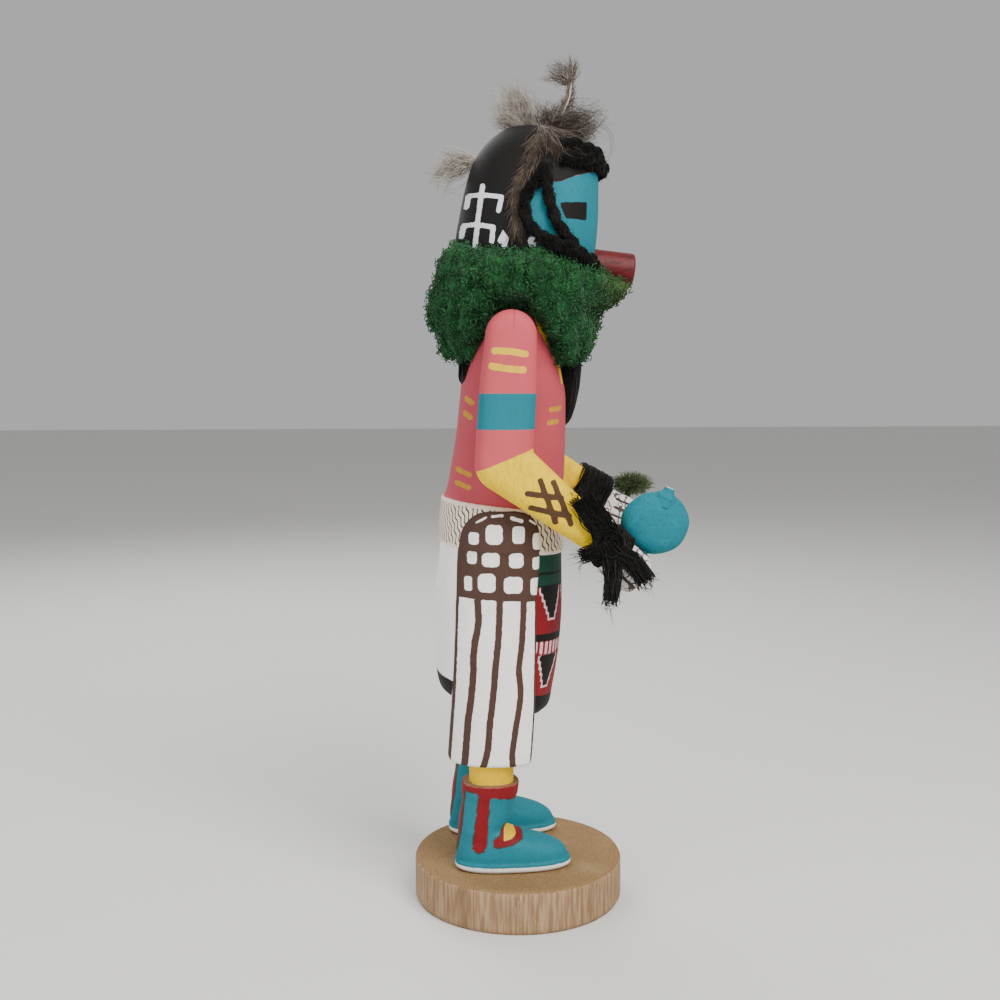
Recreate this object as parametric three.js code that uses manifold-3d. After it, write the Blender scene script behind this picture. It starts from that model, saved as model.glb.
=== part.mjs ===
// A carved and painted kachina doll on a slice of natural wood, in millimetres.
// +Z is up and the figure faces -Y, so its right arm is on the -X side.
// The origin is the centre of the base's underside. One mesh is one separate physical piece.
import * as THREE from 'three';
import { mergeVertices } from 'three/addons/utils/BufferGeometryUtils.js';
import Module from 'manifold-3d';

const wasm = await Module();
wasm.setup();

// ---------- driving dimensions ----------
const GAP = 0.35;                 // clearance between pieces that touch
const BASE_RADIUS = 38.4;
const BASE_HEIGHT = 15.5;
const BASE_EDGE = 0.7;            // sanded edge of the base
const MIDDLE = 5;                 // the figure's mid-plane stands a little off the base's centre
const FOOT_SPREAD = 18;           // from the mid-plane to the middle of each boot
const BODY_SIDES = 24;            // facets round the trunk and the head
const BOOT_SIDES = 12;
const SASH_PROUD = 1.2;           // how far the hip sash stands out of the kilt
const SASH_THICKNESS = 5.5;
const SNOUT_RADIUS = 6.3;
const SNOUT_LENGTH = 15.5;
const SNOUT_DROOP = 0.11;         // the snout points down a little, in radians
const ARM_OUT = 30.6;             // from the mid-plane to the middle of each arm
const ARM_THICKNESS = 13;
const ARM_ROUNDING = 3.2;
const YARN = 2.1;                 // radius of the thick black yarn
const RATTLE_RADIUS = 12.1;
const RATTLE_FLATTENING = 0.9;   // its height against its length
const RATTLE_THICKNESS = 9;
const HANDLE_RADIUS = 1.8;
const SPRIG_STEM = 1.3;

// Levels of the carved body: height, the back and front edges along Y, half the width along X,
// and lean, the height that the back of the level gains and its front loses.
const TRUNK = [
  { z: 74, back: 26.0, front: -9.0, half: 24.8, lean: 3.2 },
  { z: 76.6, back: 28.9, front: -11.6, half: 26.9, lean: 3.2 },
  { z: 83, back: 30.0, front: -13.0, half: 27.4, lean: 2.8 },
  { z: 98, back: 30.5, front: -15.4, half: 27.7, lean: 2.2 },
  { z: 113, back: 30.0, front: -16.3, half: 27.2, lean: 1.6 },
  { z: 130.6, back: 28.3, front: -16.1, half: 26.2, lean: 1.6 },
  { z: 132, back: 28.8, front: -17.2, half: 26.7, lean: 1.6 },
  { z: 146.4, back: 27.6, front: -16.9, half: 25.2, lean: 2.4 },
  { z: 147.4, back: 26.4, front: -16.2, half: 24.4, lean: 2.4 },
  { z: 160, back: 24.0, front: -17.0, half: 23.2, lean: 1 },
  { z: 172, back: 22.2, front: -17.4, half: 22.8, lean: 0 },
  { z: 184, back: 20.9, front: -17.4, half: 23.4, lean: 0 },
  { z: 194, back: 19.8, front: -16.1, half: 24.0, lean: 0 },
  { z: 202, back: 17.2, front: -14.6, half: 24.2, lean: 0 },
  { z: 209, back: 14.6, front: -12.2, half: 23.6, lean: 0 },
  { z: 213.5, back: 11.2, front: -10.4, half: 20.4, lean: 0 },
  { z: 216.5, back: 8.4, front: -9.6, half: 14.6, lean: 0 },
  { z: 220, back: 7.8, front: -9.6, half: 12.4, lean: 0 },
  { z: 231, back: 7.8, front: -12.0, half: 12.4, lean: 0 },
];
const HEAD = [
  { z: 228, back: 19.2, front: -23.2, half: 20.6 },
  { z: 230.5, back: 21.9, front: -26.2, half: 23.6 },
  { z: 241, back: 22.2, front: -28.4, half: 24.6 },
  { z: 250, back: 20.8, front: -29.0, half: 24.3 },
  { z: 260, back: 18.7, front: -29.1, half: 23.4 },
  { z: 266, back: 16.9, front: -28.6, half: 22.3 },
  { z: 270.5, back: 14.8, front: -26.8, half: 20.6 },
  { z: 274.5, back: 12.0, front: -23.7, half: 17.9 },
  { z: 277.8, back: 8.5, front: -19.2, half: 14.1 },
  { z: 280.2, back: 4.4, front: -13.4, half: 9.2 },
  { z: 281.3, back: 0.6, front: -8.4, half: 4.8 },
];
// A boot and its leg: sole, foot, ankle, red cuff and the bare leg above it.
const BOOT = [
  { z: 0, back: 23.2, front: -16.5, half: 8.9 },
  { z: 1.2, back: 24.5, front: -17.7, half: 9.8 },
  { z: 2.9, back: 24.5, front: -17.5, half: 9.8 },
  { z: 3.3, back: 24.0, front: -16.9, half: 9.3 },
  { z: 5.6, back: 24.1, front: -15.9, half: 9.2 },
  { z: 7.9, back: 24.0, front: -13.2, half: 8.9 },
  { z: 9.7, back: 23.8, front: -8.9, half: 8.5 },
  { z: 11.2, back: 23.6, front: -3.4, half: 8.1 },
  { z: 13.1, back: 23.4, front: 2.6, half: 7.9 },
  { z: 14.9, back: 23.3, front: 6.4, half: 7.8 },
  { z: 18.6, back: 22.9, front: 4.4, half: 8.0 },
  { z: 26, back: 21.8, front: 2.6, half: 8.7 },
  { z: 28, back: 22.1, front: 1.8, half: 9.2 },
  { z: 31.8, back: 21.8, front: 1.4, half: 9.4 },
  { z: 32.2, back: 19.2, front: 3.4, half: 7.8 },
  { z: 60, back: 20.0, front: 2.4, half: 8.2 },
];
// The hip sash hangs over the right leg: height and its front and back edges along Y.
const SASH = [
  { z: 146, front: -5.4, back: 21.6 },
  { z: 129, front: -5.2, back: 23.4 },
  { z: 114, front: -4.1, back: 24.1 },
  { z: 97, front: -4.0, back: 24.7 },
  { z: 80, front: -3.9, back: 25.4 },
  { z: 66, front: -3.2, back: 26.3 },
  { z: 55, front: -2.3, back: 27.0 },
];

// ---------- solids and booleans ----------
function toSolid(geometry) {
  const bare = geometry.clone();
  bare.deleteAttribute('normal');
  bare.deleteAttribute('uv');
  const merged = mergeVertices(bare, 1e-4);
  const corners = merged.index.array;
  const triangles = [];
  for (let i = 0; i < corners.length; i += 3) {
    const [a, b, c] = [corners[i], corners[i + 1], corners[i + 2]];
    if (a !== b && b !== c && c !== a) triangles.push(a, b, c);
  }
  return new wasm.Manifold(new wasm.Mesh({
    numProp: 3,
    vertProperties: new Float32Array(merged.getAttribute('position').array),
    triVerts: new Uint32Array(triangles),
  }));
}

function toGeometry(solid) {
  const mesh = solid.getMesh();
  const geometry = new THREE.BufferGeometry();
  geometry.setAttribute('position', new THREE.BufferAttribute(mesh.vertProperties, 3));
  geometry.setIndex(new THREE.BufferAttribute(mesh.triVerts, 1));
  return geometry;
}

const join = (...solids) => solids.reduce((whole, next) => whole.add(next));
const cut = (solid, ...rooms) => rooms.reduce((left, room) => left.subtract(room), solid);

// Closed skin over a stack of rings, which run anticlockwise as seen from the last one.
function loft(rings) {
  const sides = rings[0].length;
  const points = rings.flat();
  const triangles = [];
  for (let level = 0; level < rings.length - 1; level++) {
    for (let i = 0; i < sides; i++) {
      const [a, b] = [level * sides + i, level * sides + (i + 1) % sides];
      triangles.push(a, b, b + sides, a, b + sides, a + sides);
    }
  }
  for (const [start, flip] of [[0, true], [(rings.length - 1) * sides, false]]) {
    const middle = new THREE.Vector3();
    for (let i = 0; i < sides; i++) middle.addScaledVector(points[start + i], 1 / sides);
    points.push(middle);
    for (let i = 0; i < sides; i++) {
      const [a, b] = [start + i, start + (i + 1) % sides];
      triangles.push(...(flip ? [points.length - 1, b, a] : [points.length - 1, a, b]));
    }
  }
  const geometry = new THREE.BufferGeometry().setFromPoints(points);
  geometry.setIndex(triangles);
  return geometry;
}

// ---------- sections of the carved body ----------
const roundness = (value, power) => Math.sign(value) * Math.abs(value) ** (2 / power);

// Rounded section of a body level round the given middle plane, grown outwards by room.
function section(level, centreX, sides, power, room = 0) {
  const centreY = (level.back + level.front) / 2;
  const deep = (level.back - level.front) / 2;
  return Array.from({ length: sides }, (_, i) => {
    const turn = (i / sides) * Math.PI * 2;
    const y = roundness(Math.sin(turn), power);
    const x = roundness(Math.cos(turn), power);
    return new THREE.Vector3(
      centreX + (level.half + room) * x,
      centreY + (deep + room) * y,
      level.z + (level.lean ?? 0) * y,
    );
  });
}

// Stack of levels as one solid. Room also lifts the top and drops the bottom.
function stack(levels, centreX, centreZ, sides, power, room = 0) {
  const rings = levels.map((level) => section({ ...level, z: level.z + centreZ }, centreX, sides, power, room));
  for (const point of rings[0]) point.z -= room;
  for (const point of rings.at(-1)) point.z += room;
  return toSolid(loft(rings));
}

// A level of the given stack at height z, between its neighbours.
function levelAt(levels, z) {
  const above = Math.max(1, levels.findIndex((level) => level.z >= z));
  const [low, high] = [levels[above - 1], levels[above]];
  const share = THREE.MathUtils.clamp((z - low.z) / (high.z - low.z), 0, 1);
  const mix = (key) => THREE.MathUtils.lerp(low[key], high[key], share);
  return { z, back: mix('back'), front: mix('front'), half: mix('half') };
}

// How far the surface of a stack lies from the mid-plane at (y, z).
function halfWidthAt(levels, y, z, power) {
  const level = levelAt(levels, z);
  const deep = (level.back - level.front) / 2;
  const across = Math.min(1, Math.abs(y - (level.back + level.front) / 2) / deep);
  return level.half * (1 - across ** power) ** (1 / power);
}

const TRUNK_POWER = 2.3;
const HEAD_POWER = 2.15;
const BOOT_POWER = 2.5;

// Hip sash: a curved slab that follows the right hip and hangs straight below the hem.
function sashSolid(room = 0) {
  const columns = 8;
  const fullHip = 84;
  const rings = SASH.toReversed().map((level) => {
    const z = Math.max(level.z, fullHip);
    const outer = [];
    const inner = [];
    for (let i = 0; i <= columns; i++) {
      const y = THREE.MathUtils.lerp(level.front - room, level.back + room, i / columns);
      const x = MIDDLE - halfWidthAt(TRUNK, y, z, TRUNK_POWER) - SASH_PROUD;
      outer.push(new THREE.Vector3(x - room, y, level.z));
      inner.unshift(new THREE.Vector3(x + SASH_THICKNESS + room, y, level.z));
    }
    return [...outer, ...inner].reverse();
  });
  for (const point of rings[0]) point.z -= room;
  return toSolid(loft(rings));
}

// The carved body in one.
function figureSolid() {
  const sole = BASE_HEIGHT + GAP;
  const boots = [-FOOT_SPREAD, FOOT_SPREAD].map(
    (side) => stack(BOOT, MIDDLE + side, sole, BOOT_SIDES, BOOT_POWER));
  return join(
    stack(TRUNK, MIDDLE, 0, BODY_SIDES, TRUNK_POWER),
    stack(HEAD, MIDDLE, 0, BODY_SIDES, HEAD_POWER),
    ...boots,
    sashSolid(),
  );
}

// The room that the trunk, the head and the sash take, to cut out of what lies on them. It has fewer
// facets, and is grown by the gap and by the depth of a facet's arc.
const ROOM_SIDES = 18;
const ROOM_GROWTH = GAP + 28 * (1 - Math.cos(Math.PI / ROOM_SIDES));

function figureRoomSolid() {
  return join(
    stack(TRUNK, MIDDLE, 0, ROOM_SIDES, TRUNK_POWER, ROOM_GROWTH),
    stack(HEAD, MIDDLE, 0, ROOM_SIDES, HEAD_POWER, ROOM_GROWTH),
    sashSolid(GAP),
  );
}

// ---------- arms ----------
// Outline of a tapered limb with round ends, from one centre and radius to another.
function limbShape(from, fromRadius, to, toRadius) {
  const along = to.clone().sub(from);
  const length = along.length();
  const heading = along.angle();
  const tilt = Math.acos((fromRadius - toRadius) / length);
  const shape = new THREE.Shape();
  shape.absarc(to.x, to.y, toRadius, heading - tilt, heading + tilt, false);
  shape.absarc(from.x, from.y, fromRadius, heading + tilt, heading - tilt + Math.PI * 2, false);
  return shape;
}

// Plate cut to a shape drawn in (Y, Z), with rounded edges, centred on the given X.
function plate(shape, x, thickness, rounding, room = 0, curveSegments = 3) {
  const geometry = new THREE.ExtrudeGeometry(shape, {
    depth: thickness - 2 * rounding,
    bevelThickness: rounding + room,
    bevelSize: rounding + room,
    bevelOffset: -rounding,
    bevelSegments: 2,
    curveSegments,
  });
  geometry.translate(0, 0, -(thickness - 2 * rounding) / 2);
  geometry.applyMatrix4(new THREE.Matrix4().makeBasis(
    new THREE.Vector3(0, 1, 0), new THREE.Vector3(0, 0, 1), new THREE.Vector3(1, 0, 0)));
  geometry.translate(x, 0, 0);
  return toSolid(geometry);
}

// Rounded square outline of a fist, turned by an angle.
function fistShape(centre, length, height, corner, angle) {
  const shape = new THREE.Shape();
  const turn = (u, v) => new THREE.Vector2(u, v).rotateAround(new THREE.Vector2(), angle).add(centre);
  const [halfLength, halfHeight] = [length / 2 - corner, height / 2 - corner];
  [[1, -1], [1, 1], [-1, 1], [-1, -1]].forEach(([u, v], quarter) => {
    const middle = turn(u * halfLength, v * halfHeight);
    const start = angle + (quarter - 1) * Math.PI / 2;
    shape.absarc(middle.x, middle.y, corner, start, start + Math.PI / 2, false);
  });
  return shape;
}

const RIGHT = {
  x: MIDDLE - ARM_OUT,
  shoulder: new THREE.Vector2(5.6, 205.8),
  elbow: new THREE.Vector2(8.2, 163),
  wrist: new THREE.Vector2(-26, 136),
  fist: new THREE.Vector2(-34, 127.6),
  fistAngle: 0.72,
  fistLength: 17,
  fistHeight: 15.5,
};
const LEFT = {
  x: MIDDLE + ARM_OUT,
  shoulder: new THREE.Vector2(5.6, 205.8),
  elbow: new THREE.Vector2(7.5, 170.6),
  wrist: new THREE.Vector2(-33, 148),
  fist: new THREE.Vector2(-43, 141),
  fistAngle: 0.4,
  fistLength: 16,
  fistHeight: 12.5,
};
const SHOULDER_RADIUS = 9.6;
const ELBOW_RADIUS = 9.9;
const WRIST_RADIUS = 5.8;
const FIST_CORNER = 5.5;

function armSolid(arm, room = 0) {
  const upper = limbShape(arm.shoulder, SHOULDER_RADIUS, arm.elbow, ELBOW_RADIUS);
  const lower = limbShape(arm.elbow, ELBOW_RADIUS, arm.wrist, WRIST_RADIUS);
  const fist = fistShape(arm.fist, arm.fistLength, arm.fistHeight, FIST_CORNER, arm.fistAngle);
  return join(
    plate(upper, arm.x, ARM_THICKNESS, ARM_ROUNDING, room),
    plate(lower, arm.x, ARM_THICKNESS, ARM_ROUNDING, room),
    plate(fist, arm.x, ARM_THICKNESS + 1, ARM_ROUNDING, room, 1),
  );
}

// ---------- rods, strands and tufts ----------
// Round rod between two points, straight or tapered.
function rod(from, to, radius, sides = 12, endRadius = radius) {
  const along = to.clone().sub(from);
  const geometry = new THREE.CylinderGeometry(endRadius, radius, along.length(), sides);
  geometry.applyQuaternion(new THREE.Quaternion().setFromUnitVectors(
    new THREE.Vector3(0, 1, 0), along.clone().normalize()));
  const middle = from.clone().add(to).multiplyScalar(0.5);
  return toSolid(geometry.translate(middle.x, middle.y, middle.z));
}

// Strand or blade along a smooth path. It tapers by the given radii, flattened towards one normal.
function strand(path, radii, { sides = 6, steps = 10, flat = 1, face = null, room = 0 } = {}) {
  const curve = new THREE.CatmullRomCurve3(path);
  const size = new THREE.SplineCurve(radii.map((radius, i) => new THREE.Vector2(i, radius)));
  const rings = [];
  const frames = curve.computeFrenetFrames(steps, false);
  for (let step = 0; step <= steps; step++) {
    const share = step / steps;
    const centre = curve.getPointAt(share);
    const radius = size.getPoint(share).y;
    const tangent = frames.tangents[step];
    const normal = face
      ? face.clone().addScaledVector(tangent, -face.dot(tangent)).normalize()
      : frames.normals[step];
    const across = tangent.clone().cross(normal).normalize();
    rings.push(Array.from({ length: sides }, (_, i) => {
      const turn = (i / sides) * Math.PI * 2;
      return centre.clone()
        .addScaledVector(normal, Math.cos(turn) * (radius * flat + room))
        .addScaledVector(across, Math.sin(turn) * (radius + room));
    }));
  }
  return toSolid(loft(rings));
}

// Lumpy ball of wool.
function tuft(centre, radii, lumps, sides = 12) {
  const geometry = new THREE.SphereGeometry(1, sides, Math.round(sides * 0.6));
  const position = geometry.getAttribute('position');
  const point = new THREE.Vector3();
  for (let i = 0; i < position.count; i++) {
    point.fromBufferAttribute(position, i);
    const swell = 1 + 0.08 * Math.cos(lumps * Math.atan2(point.y, point.x)) * Math.sin(Math.acos(point.z));
    point.multiplyScalar(swell).multiply(radii).add(centre);
    position.setXYZ(i, point.x, point.y, point.z);
  }
  return toSolid(geometry);
}

const at = (x, y, z) => new THREE.Vector3(x, y, z);

// Point on the side of the head at (y, z), standing out by the given distance. Side is -1 for the right.
const onHead = (side, y, z, proud) => at(MIDDLE + side * (halfWidthAt(HEAD, y, z, HEAD_POWER) + proud), y, z);

// ---------- ruff ----------
const RUFF_COLUMNS = 30;
const RUFF_ROWS = 8;

// Ring of wool: its top, bottom and reach change round the neck, and lumps break its outline.
function ruffSolid(room = 0) {
  const centreY = -3;
  const innerRadius = 9;
  const points = [];
  for (let column = 0; column < RUFF_COLUMNS; column++) {
    const turn = (column / RUFF_COLUMNS) * Math.PI * 2;
    const ahead = Math.max(0, -Math.sin(turn));
    const beside = Math.cos(turn) ** 2;
    const offShoulder = THREE.MathUtils.smoothstep(Math.abs(Math.sin(turn) - 0.25), 0.12, 0.8);
    const top = 241 - 11 * ahead ** 2 - 3 * beside + room;
    const bottom = 216.4 - 19.4 * offShoulder - room;
    const reach = 34.4 + 5.6 * ahead ** 4 - 0.6 * beside + room;
    const tuckUnder = 13.5 * ahead ** 2;
    const middle = (top + bottom) / 2;
    for (let row = 0; row < RUFF_ROWS; row++) {
      const around = (row / RUFF_ROWS) * Math.PI * 2 + (row === 0 ? 0.35 * ahead : 0);
      const lump = 1 + 0.035 * Math.cos(9 * turn + 2 * Math.sin(around)) * (1 + Math.cos(around)) / 2;
      const low = THREE.MathUtils.smoothstep(-Math.sin(around), -0.62, 0);
      const outward = (0.5 + 0.5 * roundness(Math.cos(around), 2.3)) * lump;
      const radial = innerRadius + (reach - innerRadius - tuckUnder * low) * outward;
      const height = middle + (top - bottom) / 2 * roundness(Math.sin(around), 2.3);
      points.push(at(MIDDLE + Math.cos(turn) * radial, centreY + Math.sin(turn) * radial, height));
    }
  }
  const triangles = [];
  for (let column = 0; column < RUFF_COLUMNS; column++) {
    for (let row = 0; row < RUFF_ROWS; row++) {
      const nextColumn = ((column + 1) % RUFF_COLUMNS) * RUFF_ROWS;
      const nextRow = (row + 1) % RUFF_ROWS;
      const [a, b] = [column * RUFF_ROWS + row, nextColumn + row];
      const [c, d] = [nextColumn + nextRow, column * RUFF_ROWS + nextRow];
      triangles.push(a, b, c, a, c, d);
    }
  }
  const geometry = new THREE.BufferGeometry().setFromPoints(points);
  geometry.setIndex(triangles);
  return toSolid(geometry);
}

// ---------- hair ----------
// Hank of hair on the chest, as levels with locks fluted into its front.
const BEARD = [
  { z: 174, back: -14.5, front: -17.8, half: 3.5 },
  { z: 177, back: -13, front: -19.8, half: 6.4 },
  { z: 182, back: -12, front: -21.4, half: 8 },
  { z: 189, back: -12, front: -22.8, half: 9 },
  { z: 196, back: -11, front: -23.4, half: 9.5 },
  { z: 201, back: -9.5, front: -22, half: 9.5 },
];
const NAPE = [
  { z: 189.5, back: 21.0, front: 12, half: 8 },
  { z: 192, back: 21.6, front: 12, half: 10 },
  { z: 197, back: 21.4, front: 12, half: 11 },
  { z: 204, back: 20.0, front: 10, half: 11 },
];

function hankSolid(levels, facing) {
  const sides = 20;
  const rings = levels.map((level) => section(level, MIDDLE, sides, 2.4).map((point, i) => {
    const fluting = i % 2 === 0 ? 0 : 0.7;
    point.y -= facing * fluting;
    return point;
  }));
  return toSolid(loft(rings));
}

// ---------- yarn on the head ----------
function browYarnSolid(room = 0) {
  const strands = [0, 1].map((row) => {
    const z = 270.4 - row * 4.2;
    const path = [];
    for (let i = 0; i <= 8; i++) {
      const turn = THREE.MathUtils.lerp(-1.32, 1.32, i / 8);
      const level = levelAt(HEAD, z);
      const deep = (level.back - level.front) / 2;
      const centreY = (level.back + level.front) / 2;
      path.push(at(
        MIDDLE + Math.sin(turn) * (level.half + 1.8),
        centreY - Math.cos(turn) * (deep + 1.8),
        z + 1.4 * Math.sin(turn) ** 2,
      ));
    }
    return strand(path, [2.6, 3, 3, 2.6], { sides: 6, steps: 8, room });
  });
  return join(...strands);
}

// Yarn glued on one side of the face: a strand in front, an arc behind it, joined under the cheek.
const CHEEK = [[-6.2, 241.6], [-12, 238.3], [-19, 234], [-23.6, 230.2]];
const FRONT_STRAND = [[-8.8, 261.8], [-8.2, 257.5], [-9.4, 251.6], [-11.6, 245.8], [-14.6, 240.8], [-17.5, 236]];
const BACK_ARC = [[-8, 262.2], [-3.8, 259.6], [-0.9, 253], [-0.7, 246.6], [-3.2, 242], [-9, 239.6]];

function faceYarnSolid(side, room = 0) {
  const run = (points, radius) => strand(
    points.map(([y, z]) => onHead(side, y, z, radius * 0.8)),
    [radius * 0.8, radius, radius, radius * 0.85],
    { sides: 5, steps: 4, room },
  );
  return join(run(CHEEK, YARN * 1.15), run(FRONT_STRAND, YARN), run(BACK_ARC, YARN));
}

// ---------- fur and feathers ----------
const FUR_PATH = [[-5.4, 272.6], [-1.6, 266.6], [1.2, 260.4], [3.3, 253.4], [3.9, 246], [3.2, 239.6]];

function furSolid(side) {
  const path = FUR_PATH.map(([y, z]) => onHead(side, y, z, 0.6));
  return strand(path, [2.4, 2.6, 2.7, 2.5, 1.9], { sides: 5, steps: 6, flat: 0.6, face: at(side, 0, 0) });
}

// Crown tuft: three lumps of down, and blades given by length, lean back (+) or forward (-),
// tilt to the side, width and curl.
const CROWN_ROOT = at(MIDDLE, -14, 280);
const CROWN_DOWN = [
  { centre: at(MIDDLE, -13.5, 282.5), radii: at(8, 12.5, 6.4) },
  { centre: at(MIDDLE + 1, 1.5, 289.2), radii: at(6, 8.4, 7) },
  { centre: at(MIDDLE + 1, -9, 291), radii: at(5, 7.5, 6.5) },
  { centre: at(MIDDLE - 1, -25.4, 284), radii: at(6, 6.8, 4.6) },
];
const CROWN_BLADES = [
  { length: 26, lean: -0.28, tilt: 0.02, width: 6.4, curl: 0.1 },
  { length: 24, lean: 0.0, tilt: 0.16, width: 6.0, curl: 0.35 },
  { length: 19, lean: -1.0, tilt: 0.1, width: 5.6, curl: 0.1 },
];

function crownSolid() {
  const blades = CROWN_BLADES.map(({ length, lean, tilt, width, curl }) => {
    const path = [0, 0.35, 0.7, 1].map((share) => {
      const bend = lean + curl * share;
      const reach = length * share;
      return CROWN_ROOT.clone().add(at(
        Math.sin(tilt) * reach,
        Math.sin(bend) * Math.cos(tilt) * reach,
        Math.cos(bend) * Math.cos(tilt) * reach,
      ));
    });
    return strand(path, [1.6, width / 2, width / 2, 1.2], { sides: 4, steps: 4, flat: 0.35, face: at(1, 0.2, 0) });
  });
  const lumps = CROWN_DOWN.map(({ centre, radii }) => tuft(centre, radii, 5, 8));
  return join(...lumps, ...blades);
}

// Fan of three short feathers behind the head.
function backFeatherSolid() {
  const root = at(MIDDLE + 3, 13.5, 271);
  const fan = [-0.35, 0.05, 0.4].map((spread) => strand(
    [0, 0.4, 0.8, 1].map((share) => root.clone().add(at(
      spread * 6 * share, 17.5 * share, 2.2 * share - (6.5 + 7 * spread) * share ** 1.4,
    ))),
    [1.0, 2.2, 2.2, 0.9],
    { sides: 4, steps: 4, flat: 0.35, face: at(1, 0, 0.4) },
  ));
  return join(...fan);
}

// ---------- wrist ties and sprig ----------
// Band of yarn round a wrist, across the forearm's direction.
function wristBand(arm, along, width, proud) {
  const heading = arm.wrist.clone().sub(arm.elbow).normalize();
  const centre = arm.wrist.clone().addScaledVector(heading, along);
  const axis = at(0, heading.x, heading.y);
  const middle = at(arm.x, centre.x, centre.y);
  const deep = WRIST_RADIUS + proud;
  const geometry = new THREE.CylinderGeometry(1, 1, width, 10, 2);
  const position = geometry.getAttribute('position');
  for (let i = 0; i < position.count; i++) {
    const bulge = Math.abs(position.getY(i)) < 0.01 ? 1.1 : 1;
    position.setX(i, position.getX(i) * (ARM_THICKNESS / 2 + proud) * bulge);
    position.setZ(i, position.getZ(i) * deep * bulge);
  }
  const across = at(1, 0, 0);
  geometry.applyMatrix4(new THREE.Matrix4().makeBasis(across, axis, across.clone().cross(axis)));
  return toSolid(geometry.translate(middle.x, middle.y, middle.z));
}

// The right tie: its knot lies on the arm's outer face, and its loose ends run from there,
// each as points of (proud of the knot, Y, Z).
const KNOT = at(RIGHT.x - ARM_THICKNESS / 2 - 2.4, -26.5, 136.4);
const LOOSE_ENDS = [
  [[-0.2, -23, 141], [0, -18.6, 147], [0.4, -13.6, 153]],
  [[-0.8, -23, 134], [-0.4, -19.8, 131.6], [0.2, -17, 129]],
  [[-1.2, -26.4, 129], [-1.6, -25.8, 122], [-1.2, -25.4, 114.6]],
  [[-1.4, -29.6, 132], [-1.8, -34.6, 127.4], [-1.4, -40.6, 122.8]],
].map((end) => end.map(([proud, y, z]) => at(KNOT.x + proud, y, z)));

function rightTieSolid() {
  const ends = LOOSE_ENDS.map((path) => strand([KNOT, ...path], [2.2, 2.6, 2.7, 2.4], { sides: 5, steps: 3 }));
  return join(wristBand(RIGHT, 4.5, 7, 2.2), tuft(KNOT, at(3.4, 4.6, 4.6), 5, 6), ...ends);
}

const SPRIG_TOP = at(LEFT.x, -49.5, 150.2);
const SPRIG_LOW = at(LEFT.x, -42.6, 132.2);

// The tufts are cut clear of what they touch, and the stem runs through the hand between them.
function sprigSolid(...rooms) {
  return join(
    cut(tuft(SPRIG_TOP, at(6, 9, 5), 5, 10), ...rooms),
    cut(tuft(SPRIG_LOW, at(4, 4.2, 3.8), 4, 8), ...rooms),
    rod(SPRIG_TOP, SPRIG_LOW, SPRIG_STEM, 8),
  );
}

// ---------- rattle ----------
const RATTLE_CENTRE = new THREE.Vector2(-44.9, 141.9);
const RATTLE_AXIS = new THREE.Vector2(-0.39, 0.92).normalize();
const HANDLE_END = -22;            // along the axis, inside the fist
const NUB_END = 13.2;
const alongRattle = (distance) => {
  const point = RATTLE_CENTRE.clone().addScaledVector(RATTLE_AXIS, distance);
  return at(RIGHT.x, point.x, point.y);
};

function rattleSolid(room = 0) {
  const profile = [];
  const rounds = 7;
  for (let i = 0; i <= rounds; i++) {
    const turn = (i / rounds) * Math.PI;
    profile.push(new THREE.Vector2(
      i % rounds === 0 ? 0 : (RATTLE_RADIUS + room) * roundness(Math.sin(turn), 3.4),
      -(RATTLE_THICKNESS / 2 + room) * Math.cos(turn),
    ));
  }
  const disc = new THREE.LatheGeometry(profile, 20).rotateZ(-Math.PI / 2).scale(1, 1, RATTLE_FLATTENING);
  const centre = alongRattle(0);
  return join(
    toSolid(disc.translate(centre.x, centre.y, centre.z)),
    rod(alongRattle(0), alongRattle(NUB_END + room), 1.9 + room, 10),
    rod(alongRattle(8), alongRattle(11.8 + room), 6.4 + room, 10, 1.9 + room),
    rod(alongRattle(0), alongRattle(HANDLE_END - room), HANDLE_RADIUS + room, 12),
  );
}

// ---------- assembly ----------
const paint = (color, roughness = 0.7) => new THREE.MeshStandardMaterial({ color, roughness, metalness: 0 });
const pieces = new THREE.Group();

function place(name, solid, material) {
  const mesh = new THREE.Mesh(toGeometry(solid), material);
  mesh.name = name;
  pieces.add(mesh);
  return mesh;
}

const figureRoom = figureRoomSolid();
const rightRoom = armSolid(RIGHT, GAP);
const leftRoom = armSolid(LEFT, GAP);
const ruffRoom = ruffSolid(GAP);
const browRoom = browYarnSolid(GAP);
const faceRoom = join(faceYarnSolid(-1, GAP), faceYarnSolid(1, GAP));

const baseProfile = [
  [0, 0], [BASE_RADIUS - BASE_EDGE, 0], [BASE_RADIUS, BASE_EDGE],
  [BASE_RADIUS, BASE_HEIGHT - BASE_EDGE], [BASE_RADIUS - BASE_EDGE, BASE_HEIGHT], [0, BASE_HEIGHT],
].map(([radius, height]) => new THREE.Vector2(radius, height));
const base = toSolid(new THREE.LatheGeometry(baseProfile, 40).rotateX(Math.PI / 2));
place('base_disc', base, paint(0xb6a48c, 0.85));

place('figure', figureSolid(), paint(0xc9737a));
const handleRoom = rattleSolid(GAP);
const stemRoom = rod(SPRIG_TOP, SPRIG_LOW, SPRIG_STEM + GAP, 8);
place('right_arm', cut(armSolid(RIGHT), figureRoom, handleRoom), paint(0xd9898a));
place('left_arm', cut(armSolid(LEFT), figureRoom, stemRoom), paint(0xd9898a));
place('rattle', rattleSolid(), paint(0x3f9aa6, 0.8));
const leftTie = { along: -0.5, width: 13, proud: 2.3 };
const leftTieRoom = wristBand(LEFT, leftTie.along, leftTie.width + 2 * GAP, leftTie.proud + GAP);
place('sprig', sprigSolid(leftRoom, leftTieRoom), paint(0x2c5a30, 1));

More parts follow.
